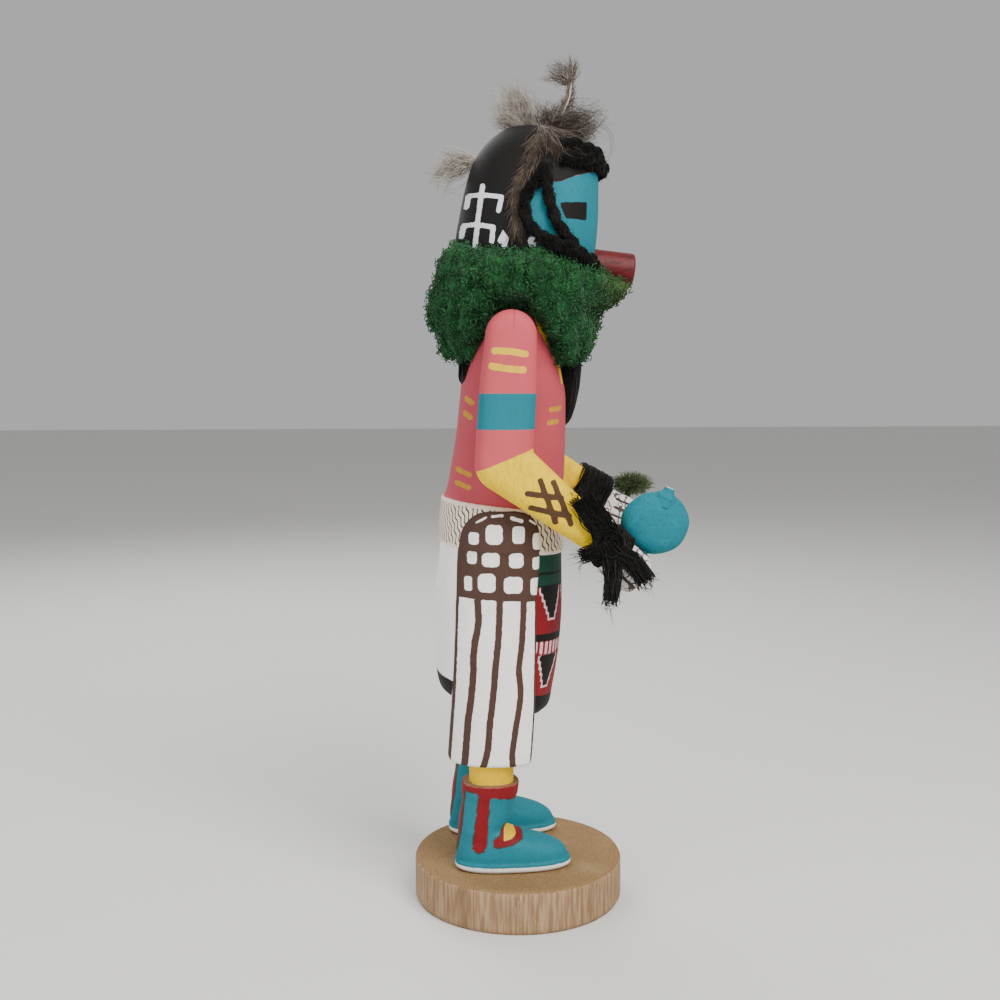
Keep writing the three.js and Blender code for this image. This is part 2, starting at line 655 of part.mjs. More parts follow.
const snoutRoot = at(MIDDLE, -25, 232.8);
const snoutHeading = at(0, -Math.cos(SNOUT_DROOP), -Math.sin(SNOUT_DROOP));
const snoutTip = snoutRoot.clone().addScaledVector(snoutHeading, SNOUT_LENGTH + 2);
const snout = cut(rod(snoutRoot, snoutTip, SNOUT_RADIUS, 18), figureRoom);
const snoutRoom = rod(snoutRoot, snoutTip, SNOUT_RADIUS + GAP, 18);
place('snout', snout, paint(0x8e2b2c, 0.6));

place('brow_yarn', cut(browYarnSolid(), figureRoom), paint(0x131213, 1));
for (const [name, side] of [['right_face_yarn', -1], ['left_face_yarn', 1]]) {
  place(name, cut(faceYarnSolid(side), figureRoom, browRoom, snoutRoom), paint(0x131213, 1));
}
place('ruff', cut(ruffSolid(), figureRoom, rightRoom, leftRoom, snoutRoom, faceRoom), paint(0x1f5c34, 1));
place('beard', cut(hankSolid(BEARD, -1), figureRoom, ruffRoom), paint(0x0e0c0d, 0.9));
place('nape_hair', cut(hankSolid(NAPE, 1), figureRoom, ruffRoom), paint(0x0e0c0d, 0.9));
for (const [name, side] of [['right_fur', -1], ['left_fur', 1]]) {
  place(name, cut(furSolid(side), figureRoom, ruffRoom, faceRoom, browRoom), paint(0x6a5648, 1));
}
place('crown_feathers', cut(crownSolid(), figureRoom, browRoom), paint(0x9a8674, 1));
place('back_feather', cut(backFeatherSolid(), figureRoom), paint(0x9b7c52, 1));
place('right_wrist_tie', cut(rightTieSolid(), rightRoom, handleRoom), paint(0x121112, 1));
const leftBand = wristBand(LEFT, leftTie.along, leftTie.width, leftTie.proud);
place('left_wrist_tie', cut(leftBand, leftRoom), paint(0x121112, 1));

export default pieces;
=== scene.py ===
"""A carved and painted kachina doll on a slice of natural wood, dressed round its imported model.

Lengths are in millimetres until a mesh is made. +Z is up and the figure faces -Y, so its right
side is on -X.
"""
import math

import bmesh
import bpy
import numpy as np
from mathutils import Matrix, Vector


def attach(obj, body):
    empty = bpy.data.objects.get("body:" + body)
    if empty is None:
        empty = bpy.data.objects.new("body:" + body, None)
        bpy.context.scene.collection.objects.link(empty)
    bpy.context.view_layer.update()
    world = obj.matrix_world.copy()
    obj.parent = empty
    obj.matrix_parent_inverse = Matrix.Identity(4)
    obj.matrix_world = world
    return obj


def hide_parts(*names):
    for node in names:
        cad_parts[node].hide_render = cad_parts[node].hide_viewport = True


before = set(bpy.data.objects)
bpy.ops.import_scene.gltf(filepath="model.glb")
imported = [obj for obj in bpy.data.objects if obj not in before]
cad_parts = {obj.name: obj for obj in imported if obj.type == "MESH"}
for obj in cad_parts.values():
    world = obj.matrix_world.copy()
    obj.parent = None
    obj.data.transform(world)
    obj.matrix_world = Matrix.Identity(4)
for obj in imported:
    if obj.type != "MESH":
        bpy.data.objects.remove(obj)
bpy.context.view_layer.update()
MM = 0.001
MIDDLE = 5.0  # the figure's mid-plane along X
FAR = 9.0     # distance to a painted outline for points that are nowhere near it

# ---------- camera, light and floor ----------
EYE = Vector((-439.8, 53.0, 193.2))
HEADING = math.radians(-6.0)
PITCH = math.radians(5.85)
LENS = 43.92


def make_camera():
    """The camera, level with the figure's chest and looking at its right side."""
    data = bpy.data.cameras.new("camera")
    data.lens = LENS
    data.sensor_width = 36.0
    data.clip_start, data.clip_end = 0.01, 50.0
    camera = bpy.data.objects.new("camera", data)
    bpy.context.collection.objects.link(camera)
    ahead = Vector((
        math.cos(HEADING) * math.cos(PITCH), math.sin(HEADING) * math.cos(PITCH), -math.sin(PITCH)))
    camera.location = EYE * MM
    camera.rotation_euler = ahead.to_track_quat("-Z", "Y").to_euler()
    bpy.context.scene.camera = camera


def make_light(name, place, size, power, colour=(1, 1, 1)):
    """A soft square light that faces the figure's chest."""
    data = bpy.data.lights.new(name, "AREA")
    data.size = size
    data.energy = power
    data.color = colour
    light = bpy.data.objects.new(name, data)
    bpy.context.collection.objects.link(light)
    light.location = place
    light.rotation_euler = (Vector((0, 0, 0.15)) - Vector(place)).to_track_quat("-Z", "Y").to_euler()


# ---------- shader arithmetic ----------
def tint(code):
    """Linear colour of a hexadecimal paint code."""
    parts = [int(code[i:i + 2], 16) / 255 for i in (1, 3, 5)]
    return tuple(p / 12.92 if p <= 0.04045 else ((p + 0.055) / 1.055) ** 2.4 for p in parts) + (1.0,)


def add_node(tree, kind, settings, *values, **named):
    """A node: its settings first, then its sockets in order or by name, from sockets or constants."""
    made = tree.nodes.new(kind)
    for key, setting in settings.items():
        setattr(made, key, setting)
    filled = list(zip(made.inputs, values))
    for key, value in named.items():
        filled.append((next(s for s in made.inputs if s.enabled and s.name == key.replace("_", " ")), value))
    for socket, value in filled:
        if isinstance(value, bpy.types.NodeSocket):
            tree.links.new(value, socket)
        else:
            socket.default_value = value
    return made


def bare(value):
    return value.socket if isinstance(value, Value) else value


class Value:
    """A shader socket that takes part in Python arithmetic."""

    def __init__(self, finish, socket):
        self.finish = finish
        self.socket = socket

    def math(self, operation, *others):
        return self.finish.node("ShaderNodeMath", {"operation": operation}, self, *others)

    def __add__(self, other):
        return self.math("ADD", other)

    __radd__ = __add__

    def __mul__(self, other):
        return self.math("MULTIPLY", other)

    __rmul__ = __mul__

    def __sub__(self, other):
        return self.math("SUBTRACT", other)

    def __rsub__(self, other):
        return self.finish.node("ShaderNodeMath", {"operation": "SUBTRACT"}, other, self)

    def sine(self):
        return self.math("SINE")

    def ramp(self, low, high):
        """0 below low, 1 above high and a soft step between; low may be the larger."""
        return self.finish.node(
            "ShaderNodeMapRange", {"interpolation_type": "SMOOTHSTEP"}, self, low, high)


class Finish:
    """A material whose shader is written as expressions."""

    def __init__(self, name):
        self.material = bpy.data.materials.new(name)
        self.material.use_nodes = True
        self.tree = self.material.node_tree
        self.shader = self.tree.nodes["Principled BSDF"]

    def fill(self, socket, value):
        if isinstance(value, Value):
            self.tree.links.new(value.socket, socket)
        else:
            socket.default_value = value

    def node(self, kind, settings, *values, output=0, **named):
        """Any node but a mix or the shader, as the Value of one of its outputs."""
        named = {key: bare(value) for key, value in named.items()}
        made = add_node(self.tree, kind, settings, *(bare(value) for value in values), **named)
        return Value(self, made.outputs[output])

    def attribute(self, name):
        return self.node("ShaderNodeAttribute", {"attribute_name": name}, output=2)

    def place(self):
        return self.node("ShaderNodeTexCoord", {}, output=3)

    def height(self):
        """Height above the floor in millimetres."""
        return self.node("ShaderNodeSeparateXYZ", {}, self.place(), output=2) * (1 / MM)

    def noise(self, size, detail=2.0, stretch=(1, 1, 1)):
        """Noise from 0 to 1 with marks of about the given size in millimetres."""
        place = self.node("ShaderNodeVectorMath", {"operation": "MULTIPLY"}, self.place(), stretch)
        return self.node(
            "ShaderNodeTexNoise", {}, Vector=place, Scale=1 / (size * MM), Detail=detail)

    def mix(self, first, second, factor):
        made = self.tree.nodes.new("ShaderNodeMix")
        made.data_type = "RGBA"
        for place, value in ((0, factor), (6, first), (7, second)):
            self.fill(made.inputs[place], value)
        return Value(self, made.outputs[2])

    def bump(self, height, depth, strength=1.0):
        """Relief of the given depth in millimetres where height goes from 0 to 1."""
        return self.node("ShaderNodeBump", {}, Strength=strength, Distance=depth * MM, Height=height)

    def done(self, colour, roughness=0.6, normal=None, specular=0.22, sheen=0.0):
        self.fill(self.shader.inputs["Base Color"], colour)
        self.fill(self.shader.inputs["Roughness"], roughness)
        self.shader.inputs["Specular IOR Level"].default_value = specular
        self.shader.inputs["Sheen Weight"].default_value = sheen
        if normal is not None:
            self.fill(self.shader.inputs["Normal"], normal)
        return self.material


# ---------- meshes ----------
def grid_faces(rows, columns):
    """Quads over rows of points, closed round their columns."""
    row = np.arange(rows - 1)[:, None] * columns
    here = np.arange(columns)[None, :]
    after = (here + 1) % columns
    quads = np.stack([row + here, row + after, row + after + columns, row + here + columns], -1)
    return quads.reshape(-1, 4).tolist()


def circle(count):
    """Angles evenly round a circle."""
    return np.linspace(0, 2 * np.pi, count, endpoint=False)


def tube(rings, layers=None):
    """A closed skin over rings of points, as (points, faces, layers), with a point at each end."""
    rows, columns = rings.shape[:2]
    points = np.concatenate([rings.reshape(-1, 3), rings[:1].mean(1), rings[-1:].mean(1)])
    faces = grid_faces(rows, columns)
    bottom, top, last = rows * columns, rows * columns + 1, (rows - 1) * columns
    for i in range(columns):
        after = (i + 1) % columns
        faces.append([bottom, after, i])
        faces.append([top, last + i, last + after])
    layers = {
        name: np.concatenate([field.ravel(), [field[0].mean(), field[-1].mean()]])
        for name, field in (layers or {}).items()}
    return points, faces, layers


def piece(name, parts, material):
    """One object from several skins, its faces turned outwards. A layer that a skin lacks is FAR from it."""
    names = sorted({key for _, _, layers in parts for key in layers})
    points = np.concatenate([part[0] for part in parts])
    faces, start = [], 0
    for part in parts:
        faces += [[start + i for i in face] for face in part[1]]
        start += len(part[0])
    mesh = bpy.data.meshes.new(name)
    mesh.from_pydata((points * MM).tolist(), [], faces)
    for key in names:
        field = np.concatenate([
            part[2][key] if key in part[2] else np.full(len(part[0]), FAR) for part in parts])
        mesh.attributes.new(key, "FLOAT", "POINT").data.foreach_set("value", field.astype(np.float32))
    shape = bmesh.new()
    shape.from_mesh(mesh)
    bmesh.ops.recalc_face_normals(shape, faces=shape.faces)
    shape.to_mesh(mesh)
    shape.free()
    mesh.polygons.foreach_set("use_smooth", [True] * len(mesh.polygons))
    mesh.materials.append(material)
    made = bpy.data.objects.new(name, mesh)
    bpy.context.collection.objects.link(made)
    return made


def settle(made, node):
    """The piece rides on the body and stands for a node."""
    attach(made, "root")
    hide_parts(node)


def split(rings):
    """X, Y and Z of each point."""
    return (rings[..., i] for i in range(3))


def along(knots, spacing, columns=4):
    """Rows about `spacing` apart on a smooth curve through the knots that never overshoots them."""
    knots = np.array(knots, float)
    step = np.linalg.norm(np.diff(knots[:, :columns], axis=0), axis=1)
    reach = np.concatenate([[0], np.cumsum(step)])
    slope = np.diff(knots, axis=0) / step[:, None]
    before, after = slope[:-1], slope[1:]
    first, second = step[:-1, None], step[1:, None]
    same = before * after > 0
    safe_before = np.where(same, before, 1.0)
    safe_after = np.where(same, after, 1.0)
    blend = 3 * (first + second) / (
        (2 * second + first) / safe_before + (second + 2 * first) / safe_after)
    tangent = np.concatenate([slope[:1], np.where(same, blend, 0.0), slope[-1:]])
    where = np.linspace(0, reach[-1], max(3, int(round(reach[-1] / spacing)) + 1))
    i = np.clip(np.searchsorted(reach, where, side="right") - 1, 0, len(step) - 1)
    t = ((where - reach[i]) / step[i])[:, None]
    h = step[i][:, None]
    return (
        (1 + 2 * t) * (1 - t) ** 2 * knots[i] + t * (1 - t) ** 2 * h * tangent[i]
        + t * t * (3 - 2 * t) * knots[i + 1] + t * t * (t - 1) * h * tangent[i + 1])


def curve(points, steps):
    """Evenly spaced points on a smooth curve through the given ones."""
    points = np.array(points, float)
    padded = np.concatenate([[2 * points[0] - points[1]], points, [2 * points[-1] - points[-2]]])
    where = np.linspace(0, len(points) - 1, 240)
    i = np.minimum(where.astype(int), len(points) - 2)
    t = (where - i)[:, None]
    a, b, c, d = (padded[i + k] for k in range(4))
    fine = 0.5 * (
        2 * b + (c - a) * t + (2 * a - 5 * b + 4 * c - d) * t ** 2 + (3 * b - a - 3 * c + d) * t ** 3)
    reach = np.concatenate([[0], np.cumsum(np.linalg.norm(np.diff(fine, axis=0), axis=1))])
    even = np.linspace(0, reach[-1], steps)
    return np.stack([np.interp(even, reach, fine[:, k]) for k in range(points.shape[1])], -1)


def unit(vectors):
    return vectors / np.maximum(np.linalg.norm(vectors, axis=-1, keepdims=True), 1e-9)


def smooth(value):
    """An even step from 0 to 1 as value goes from 0 to 1."""
    value = np.clip(value, 0, 1)
    return value * value * (3 - 2 * value)


def spoke(angle, side, out):
    """Direction at an angle from side towards out."""
    return np.cos(angle)[..., None] * side + np.sin(angle)[..., None] * out


def rounded(value, power):
    """A sine or cosine for a squarer section than a circle: power 2 leaves it as it is."""
    return np.sign(value) * np.abs(value) ** (2 / power)


def stack(levels, centre, columns, power, spacing):
    """Rings over a table of levels (z, back, front, half, lean), and the level and side of each point."""
    rows = along(levels, spacing)
    turn = circle(columns) - np.pi / 2
    across = rounded(np.cos(turn), power)[None, :]
    back = rounded(np.sin(turn), power)[None, :]
    z, rear, front, half, lean = (rows[:, i:i + 1] for i in range(5))
    x = centre + half * across
    y = (rear + front) / 2 + (rear - front) / 2 * back
    rings = np.stack([x, y, z + lean * back], -1)
    return rings, z + 0 * back, back + 0 * z


def girth(rings):
    """Distance round each ring from its front middle, negative on the right side."""
    step = np.linalg.norm(np.diff(rings, axis=1, append=rings[:, :1]), axis=2)
    reach = np.cumsum(step, axis=1) - step
    whole = step.sum(1, keepdims=True)
    return np.where(reach > whole / 2, reach - whole, reach)


# ---------- painted outlines, as distances in millimetres that are negative inside ----------
ENDLESS = 99.0  # far past either side of the figure
def block(u, v, left, right, low, high):
    return np.maximum(np.maximum(left - u, u - right), np.maximum(low - v, v - high))


def stroke(u, v, points, width):
    """Distance to a brush stroke through the points."""
    nearest = np.full(np.shape(u), 1e3)
    for (au, av), (bu, bv) in zip(points, points[1:]):
        du, dv = bu - au, bv - av
        share = np.clip(((u - au) * du + (v - av) * dv) / (du * du + dv * dv), 0, 1)
        nearest = np.minimum(nearest, np.hypot(u - au - share * du, v - av - share * dv))
    return nearest - width / 2


def patch(u, v, corners):
    """Distance to a filled outline."""
    edge = stroke(u, v, corners + corners[:1], 0)
    inside = np.zeros(np.shape(u), bool)
    for (au, av), (bu, bv) in zip(corners, corners[1:] + corners[:1]):
        crosses = (av > v) != (bv > v)
        inside ^= crosses & (u < (bu - au) * (v - av) / (bv - av + 1e-9) + au)
    return np.where(inside, -edge, edge)


def strokes(u, v, paths, width):
    return either(*(stroke(u, v, path, width) for path in paths))


def either(*fields):
    return np.minimum.reduce(fields)


def both(*fields):
    return np.maximum.reduce(fields)


# ---------- finishes ----------
# Body pink: the arms' pink made darker, painted shade for the torso, which is less lit than the arms.
PINK_WITH_PAINTED_SHADE = tint("#AE444F")
WHITE = tint("#F0EEEA")
CREAM = tint("#E8D9C6")
TURQUOISE = tint("#13707E")
YELLOW = tint("#DDB200")
RED = tint("#7A1019")
GREEN = tint("#0B3A2C")
BLACK = tint("#0B0908")
BROWN = tint("#473129")
ROSE = tint("#DDB4B8")


def painted(name, base, layers, roughness=0.66, grain=0.07, wobble=0.22, extras=()):
    """Hand paint: each layer covers where its distance, with an unsteady edge, is below zero."""
    paint = Finish(name)
    unsteady = (paint.noise(1.6, 1.0) - 0.5) * (2 * wobble)
    brushed = paint.noise(0.9, 3.0, (1, 1, 0.35))
    cloud = paint.noise(9.0, 2.0)
    colour = base
    for layer, (shade, deeper) in layers.items():
        worn = paint.mix(shade, deeper, brushed.ramp(0.40, 0.80))
        edge = (paint.attribute(layer) + unsteady).ramp(0.09, -0.09)
        colour = paint.mix(colour, worn, edge)
    for cover, shade in extras:
        colour = paint.mix(colour, shade, cover(paint))
    colour = paint.node(
        "ShaderNodeHueSaturation", {}, Saturation=1.0, Value=0.92 + 0.16 * cloud, Color=colour)
    relief = paint.bump(brushed, grain, 0.6)
    return paint.done(colour, roughness + 0.14 * (brushed - 0.5), relief)


def belt_waves(paint):
    """Close upright wavy lines round the belt."""
    gap, width = 2.1, 0.62
    height = paint.height()
    sway = 0.42 * (height * 1.45 + paint.attribute("round") * 0.9).sine() + 0.22 * (height * 0.6).sine()
    row = (paint.attribute("round") + sway - height * 0.2).math("PINGPONG", gap / 2)
    line = row.ramp(width / 2 + 0.1, width / 2 - 0.1)
    ends = paint.attribute("belt") + (paint.noise(1.4, 1.0) - 0.5) * 1.4
    return line * ends.ramp(0.1, -0.1)


def scribble(paint):
    """Thin wandering brush lines over the hands."""
    field = paint.noise(3.4, 1.5)
    line = (field - 0.5).math("ABSOLUTE").ramp(0.045, 0.018)
    return line * paint.attribute("hand").ramp(0.1, -0.1)


def dimmer(colour, share):
    """The same paint, thinner and greyer."""
    return tuple(part * (0.35 + 0.65 * share) for part in colour[:3]) + (1.0,)


# ---------- the carved figure ----------
BASE_RADIUS = 38.4
BASE_HEIGHT = 15.5
SOLE = BASE_HEIGHT + 0.35
FOOT_SPREAD = 18.0
TRUNK_POWER, HEAD_POWER, BOOT_POWER = 2.3, 2.15, 2.5
# Levels of the carving: height, back, front, half width, and lean of the back over the front.
TRUNK = [
    (74, 26.0, -9.0, 24.8, 3.2), (76.6, 28.9, -11.6, 26.9, 3.2), (83, 30.0, -13.0, 27.4, 2.8),
    (98, 30.5, -15.4, 27.7, 2.2), (113, 30.0, -16.3, 27.2, 1.6), (130.6, 28.3, -16.1, 26.2, 1.6),
    (131.7, 28.8, -17.0, 26.7, 1.6), (146.4, 27.6, -16.9, 25.2, 2.4), (147.3, 26.6, -16.1, 24.4, 2.4),
    (160, 24.0, -17.0, 23.2, 1), (172, 22.2, -17.4, 22.8, 0), (184, 20.9, -17.4, 23.4, 0),
    (194, 19.8, -16.1, 24.0, 0), (202, 17.2, -14.6, 24.2, 0), (209, 14.6, -12.2, 23.6, 0),
    (213.5, 11.2, -10.4, 20.4, 0), (216.5, 8.4, -9.6, 14.6, 0), (220, 7.8, -9.6, 12.4, 0),
    (231, 7.8, -12.0, 12.4, 0)]
HEAD = [
    (228, 19.2, -23.2, 20.6, 0), (230.5, 21.9, -26.2, 23.6, 0), (241, 22.2, -28.4, 24.6, 0),
    (250, 20.8, -29.0, 24.3, 0), (260, 18.7, -29.1, 23.4, 0), (266, 16.9, -28.6, 22.3, 0),
    (270.5, 14.8, -26.8, 20.6, 0), (274.5, 12.0, -23.7, 17.9, 0), (277.8, 8.5, -19.2, 14.1, 0),
    (280.2, 4.4, -13.4, 9.2, 0), (281.3, 0.6, -8.4, 4.8, 0), (281.6, -3.2, -4.6, 0.8, 0)]
BOOT = [
    (0, 23.2, -16.5, 8.9, 0), (1.2, 24.5, -17.7, 9.8, 0), (2.9, 24.5, -17.5, 9.8, 0),
    (3.4, 24.0, -16.9, 9.3, 0), (5.6, 24.1, -15.9, 9.2, 0), (7.9, 24.0, -13.2, 8.9, 0),
    (9.7, 23.8, -8.9, 8.5, 0), (11.2, 23.6, -3.4, 8.1, 0), (13.1, 23.4, 2.6, 7.9, 0),
    (14.9, 23.3, 6.4, 7.8, 0), (18.6, 22.9, 4.4, 8.0, 0), (26, 21.8, 2.6, 8.7, 0), (28, 22.1, 1.8, 9.2, 0),
    (31.6, 21.8, 1.4, 9.4, 0), (32.2, 19.2, 3.4, 7.8, 0), (60, 20.0, 2.4, 8.2, 0)]
# The hip sash: height, front edge and back edge.
SASH = [
    (146, -5.4, 21.6), (129, -5.2, 23.4), (114, -4.1, 24.1), (97, -4.0, 24.7), (80, -3.9, 25.4),
    (66, -3.2, 26.3), (55, -2.3, 27.0)]
BELT_LOW, BELT_HIGH = 131.3, 146.9


def section(levels, z):
    """Back, front and half width at a height."""
    table = np.array(levels)
    return (np.interp(z, table[:, 0], table[:, i]) for i in (1, 2, 3))


def half_width(levels, y, z, power):
    """Half the carving's width at (y, z)."""
    rear, front, half = section(levels, z)
    across = np.clip(np.abs(y - (rear + front) / 2) * 2 / (rear - front), 0, 1)
    return half * (1 - across ** power) ** (1 / power)


# The kilt's woven border. Distances round the kilt run from its front middle.
BROCADE_AXIS = -21.5   # middle of a stepped triangle
BROCADE_REPEAT = 15.5
BROCADE_LEFT, BROCADE_RIGHT = -44.0, 3.6
UPPER_TRIANGLE, LOWER_TRIANGLE = (119.5, 5.8, 11.2), (95.6, 5.4, 11.0)  # top, half width and height
TRIANGLE_STEPS, TRIANGLE_OUTLINE = 5, 0.75
BARS_LOW, BARS_HIGH, BAR_REPEAT, BAR_HALF = 96.3, 100.4, 2.6, 0.75
BAND_HIGH, GREEN_LOW, GREEN_HIGH, GREEN_LINE = 103.0, 119.5, 131.0, 124.3


def stepped(a, z, top, half, tall, grow=0.0):
    """A stepped triangle that hangs from `top` on the axis a = 0."""
    fields = []
    for step in range(TRIANGLE_STEPS):
        reach = half - step * half * 0.17 + grow
        low = top - (step + 1) * tall / TRIANGLE_STEPS - grow
        fields.append(block(a, z, -reach, reach, low, top))
    return either(*fields)


def paint_kilt(s, z, side):
    """Layers of the trunk: pink body, belt, and kilt with its woven border."""
    panel = block(s, z, BROCADE_LEFT, BROCADE_RIGHT, TRUNK[0][0], BELT_LOW)
    hem_top = 81.75 + 0.9 * side
    a = (s - BROCADE_AXIS + BROCADE_REPEAT / 2) % BROCADE_REPEAT - BROCADE_REPEAT / 2
    bars = np.abs((a + 1.2) % BAR_REPEAT - BAR_REPEAT / 2) - BAR_HALF
    outlines = either(*(
        stepped(a, z, *triangle, TRIANGLE_OUTLINE) for triangle in (UPPER_TRIANGLE, LOWER_TRIANGLE)))
    return {
        "white": z - BELT_LOW,
        "cream": block(s, z, -ENDLESS, ENDLESS, BELT_LOW, BELT_HIGH),
        "red": both(panel, z - GREEN_LOW),
        "rose": both(
            panel, either(outlines, both(block(a, z, -ENDLESS, ENDLESS, BARS_LOW, BARS_HIGH), bars))),
        "green": both(panel, z - GREEN_HIGH, GREEN_LOW - z),
        "black": either(
            z - hem_top,
            both(panel, either(
                stepped(a, z, *UPPER_TRIANGLE), stepped(a, z, *LOWER_TRIANGLE), np.abs(z - GREEN_LINE) - 0.5,
                block(s, z, -ENDLESS, ENDLESS, BARS_HIGH, BAND_HIGH), np.abs(z - GREEN_LOW - 0.2) - 0.35,
                s - BROCADE_LEFT - 0.6))),
        "belt": block(s, z, -ENDLESS, ENDLESS, BELT_LOW + 1.0, BELT_HIGH - 1.3),
        "round": np.abs(s),
    }


# Inner and outer edge of the yellow yoke in (Y, Z), from the neck down.
YOKE_FRONT = [(-4.0, 219), (-5.2, 214.9), (-9.2, 208.6), (-12.0, 202.0), (-14.4, 194.4)]
YOKE_BACK = [(-2.2, 219), (-3.4, 213.9), (-5.1, 208.4), (-8.8, 202.8), (-12.9, 195.4), (-14.2, 190)]
BODY_DASHES = [
    [(-9.6, 181.1), (-13.4, 181.5)], [(-9.0, 176.5), (-12.2, 176.9)],
    [(20.0, 185.2), (17.8, 183.5)], [(20.5, 180.0), (18.3, 178.3)],
    [(22.5, 159.7), (19.0, 158.2)], [(22.8, 155.0), (19.3, 153.7)]]


def paint_shoulders(x, y, z):
    """The yellow yoke, black paint on the chest in front of it, up under the ruff, and short dashes on chest
    and back.
    """
    yoke = YOKE_BACK + [(-15.2, 190)] + YOKE_FRONT[::-1]
    chest = YOKE_FRONT + [(-15.4, 190), (-30, 190), (-30, 219)]
    return {
        # black paint over the chest in front of the yoke, up under the ruff
        "hair": patch(y, z, chest),
        "yellow": patch(y, z, yoke),
        "ochre": both(strokes(y, z, BODY_DASHES, 1.8), 9 - np.abs(x - MIDDLE)),
    }


FACE_BACK = -1.4
# Where the black cap ends above the face, from the front of the face to its back: Y, then Z.
CAP_EDGE = ((-29, -25.8, -17.6, -12.5, -6.0, -3.0), (264.6, 264.1, 261.5, 259.2, 258.5, 258.9))
EYE_PAINT = [(-11.8, 252.0), (-22.4, 253.0), (-22.2, 246.7), (-13.9, 246.7)]
CAP_MARKS = [
    [(13.9, 258.4), (14.7, 253.5), (15.7, 246.5), (16.9, 236)],
    [(19.0, 251.8), (18.4, 255.7), (13.2, 254.9), (7.9, 253.8), (9.0, 249.2)],
    [(20.8, 241.6), (20.2, 245.4), (15.9, 244.9), (10.8, 243.7), (11.3, 238.7)]]
CAP_FLECKS = [
    [(9.4, 238.9), (7.6, 242.7), (5.6, 239.7), (6.9, 235.6)],
    [(-0.5, 239.8), (-2.8, 240.3), (-4.1, 238.8), (-3.4, 235.0), (-1.2, 236.8)]]


def paint_head(_, y, z):
    """The mask's paint: turquoise face, black cap, eyes, white marks on the cap."""
    cap = np.interp(y, *CAP_EDGE)
    return {
        "turquoise": both(y - FACE_BACK, HEAD[0][0] - z, z - cap),
        "black": either(FACE_BACK - y, cap - z, patch(y, z, EYE_PAINT)),
        "chalk": either(strokes(y, z, CAP_MARKS, 1.6), *(patch(y, z, fleck) for fleck in CAP_FLECKS)),
    }


# Paint of a boot in (Y, Z).
STRAP = [
    (12.2, 46), (17.4, 46.5), (16.6, 44), (18.8, 24.8), (17.2, 23.0), (14.8, 23.9), (13.6, 26.1), (12.6, 44)]
INSTEP = [
    (11.6, 25.7), (11.2, 28.0), (8.8, 29.4), (7.2, 33), (-1.0, 31), (0.2, 28.3), (0.7, 27.5), (4.9, 25.9),
    (9.3, 25.1)]
TONGUE = [(7.8, 27.3), (6.9, 33), (1.8, 31), (2.9, 28.7), (4.7, 27.9)]
CUFF_EDGE = ((2.5, 12.5, 16.8, 21.4), (42.1, 44.0, 45.2, 46.0))                  # Y, then Z
SEAM_EDGE = ((23, 27.8, 33.5, 39.5, 47), (24.0, 23.1, 22.3, 21.7, 20.9))         # Z, then Y
SOLE_EDGE = (
    (-15.9, -11.3, -7.1, -4.2, -1.4, 5.0, 10.9, 15.6, 21.4, 24.1),
    (19.1, 19.0, 18.8, 18.4, 18.7, 19.1, 19.4, 19.8, 19.8, 19.5))                # Y, then Z
BOOT_TOP = 47.5


def paint_boot(_, y, z):
    """A boot's paint: white sole, red cuff, strap, back seam and instep, yellow tongue and leg."""
    tongue = patch(y, z, TONGUE)
    cuff = np.interp(y, *CUFF_EDGE)
    seam = np.interp(z, *SEAM_EDGE)
    red = either(
        both(cuff - z, z - BOOT_TOP), both(seam - y, 22.5 - z, z - 47),
        *(patch(y, z, outline) for outline in (STRAP, INSTEP)))
    return {
        "turquoise": both(z - 46, 18.0 - z),
        "white": z - np.interp(y, *SOLE_EDGE),
        "tan": BOOT_TOP - z,
        "yellow": either(BOOT_TOP + 0.5 - z, tongue),
        "line": both(np.abs(red) - 0.3, 21 - z, z - 47.2),
        "red": both(red, -tongue),
    }


# White cells of the sash's lattice: Y, Z, half width and half height.
SASH_CELLS = (
    (18.0, 136.5, 1.7, 2.1), (11.1, 138.0, 2.9, 3.4), (2.6, 137.8, 2.2, 3.0), (-4.2, 135.4, 1.7, 2.9),
    (18.6, 129.8, 1.6, 2.2), (12.3, 129.2, 3.0, 2.5), (3.4, 128.9, 2.6, 2.6), (-4.1, 127.6, 1.7, 2.2),
    (20.0, 120.6, 1.3, 2.5), (13.7, 121.1, 3.0, 3.3), (4.5, 120.3, 3.3, 2.9), (-3.5, 119.5, 1.8, 3.0))
# Brown stripes of the sash: width, then the (Y, Z) that each passes through.
SASH_STRIPES = (
    (2.4, [(17.0, 116), (16.6, 109), (17.1, 104), (17.9, 100), (18.4, 95), (18.4, 90), (18.9, 83), (19.6, 77),
           (20.2, 72), (20.8, 64), (21.6, 54)]),
    (2.4, [(9.3, 116), (9.5, 109), (9.8, 102), (10.4, 95.6), (10.9, 90.6), (11.4, 83.4), (12.2, 76),
           (12.9, 70), (13.5, 62), (15.4, 54)]),
    (2.3, [(0.8, 116), (1.0, 109), (1.3, 103), (1.7, 98), (2.2, 94), (2.6, 90), (2.2, 86), (1.9, 81.5),
           (2.5, 76), (3.3, 71), (4.7, 62), (4.9, 59), (4.4, 53.5)]))
# Broken white strokes over the lattice: the stroke, then its width.
SASH_DASHES = (
    ([(17.0, 142.1), (13.8, 143.9)], 0.7), ([(11.8, 144.3), (8.2, 144.6)], 0.9),
    ([(5.0, 143.7), (1.4, 142.6)], 1.3), ([(-1.5, 142.7), (-3.8, 141.3)], 0.7))


def rounded_cell(u, v, middle_u, middle_v, half_u, half_v):
    """A block with round corners."""
    corner = 0.6 * min(half_u, half_v)
    du = np.abs(u - middle_u) - half_u + corner
    dv = np.abs(v - middle_v) - half_v + corner
    return np.hypot(np.maximum(du, 0), np.maximum(dv, 0)) + np.minimum(np.maximum(du, dv), 0) - corner


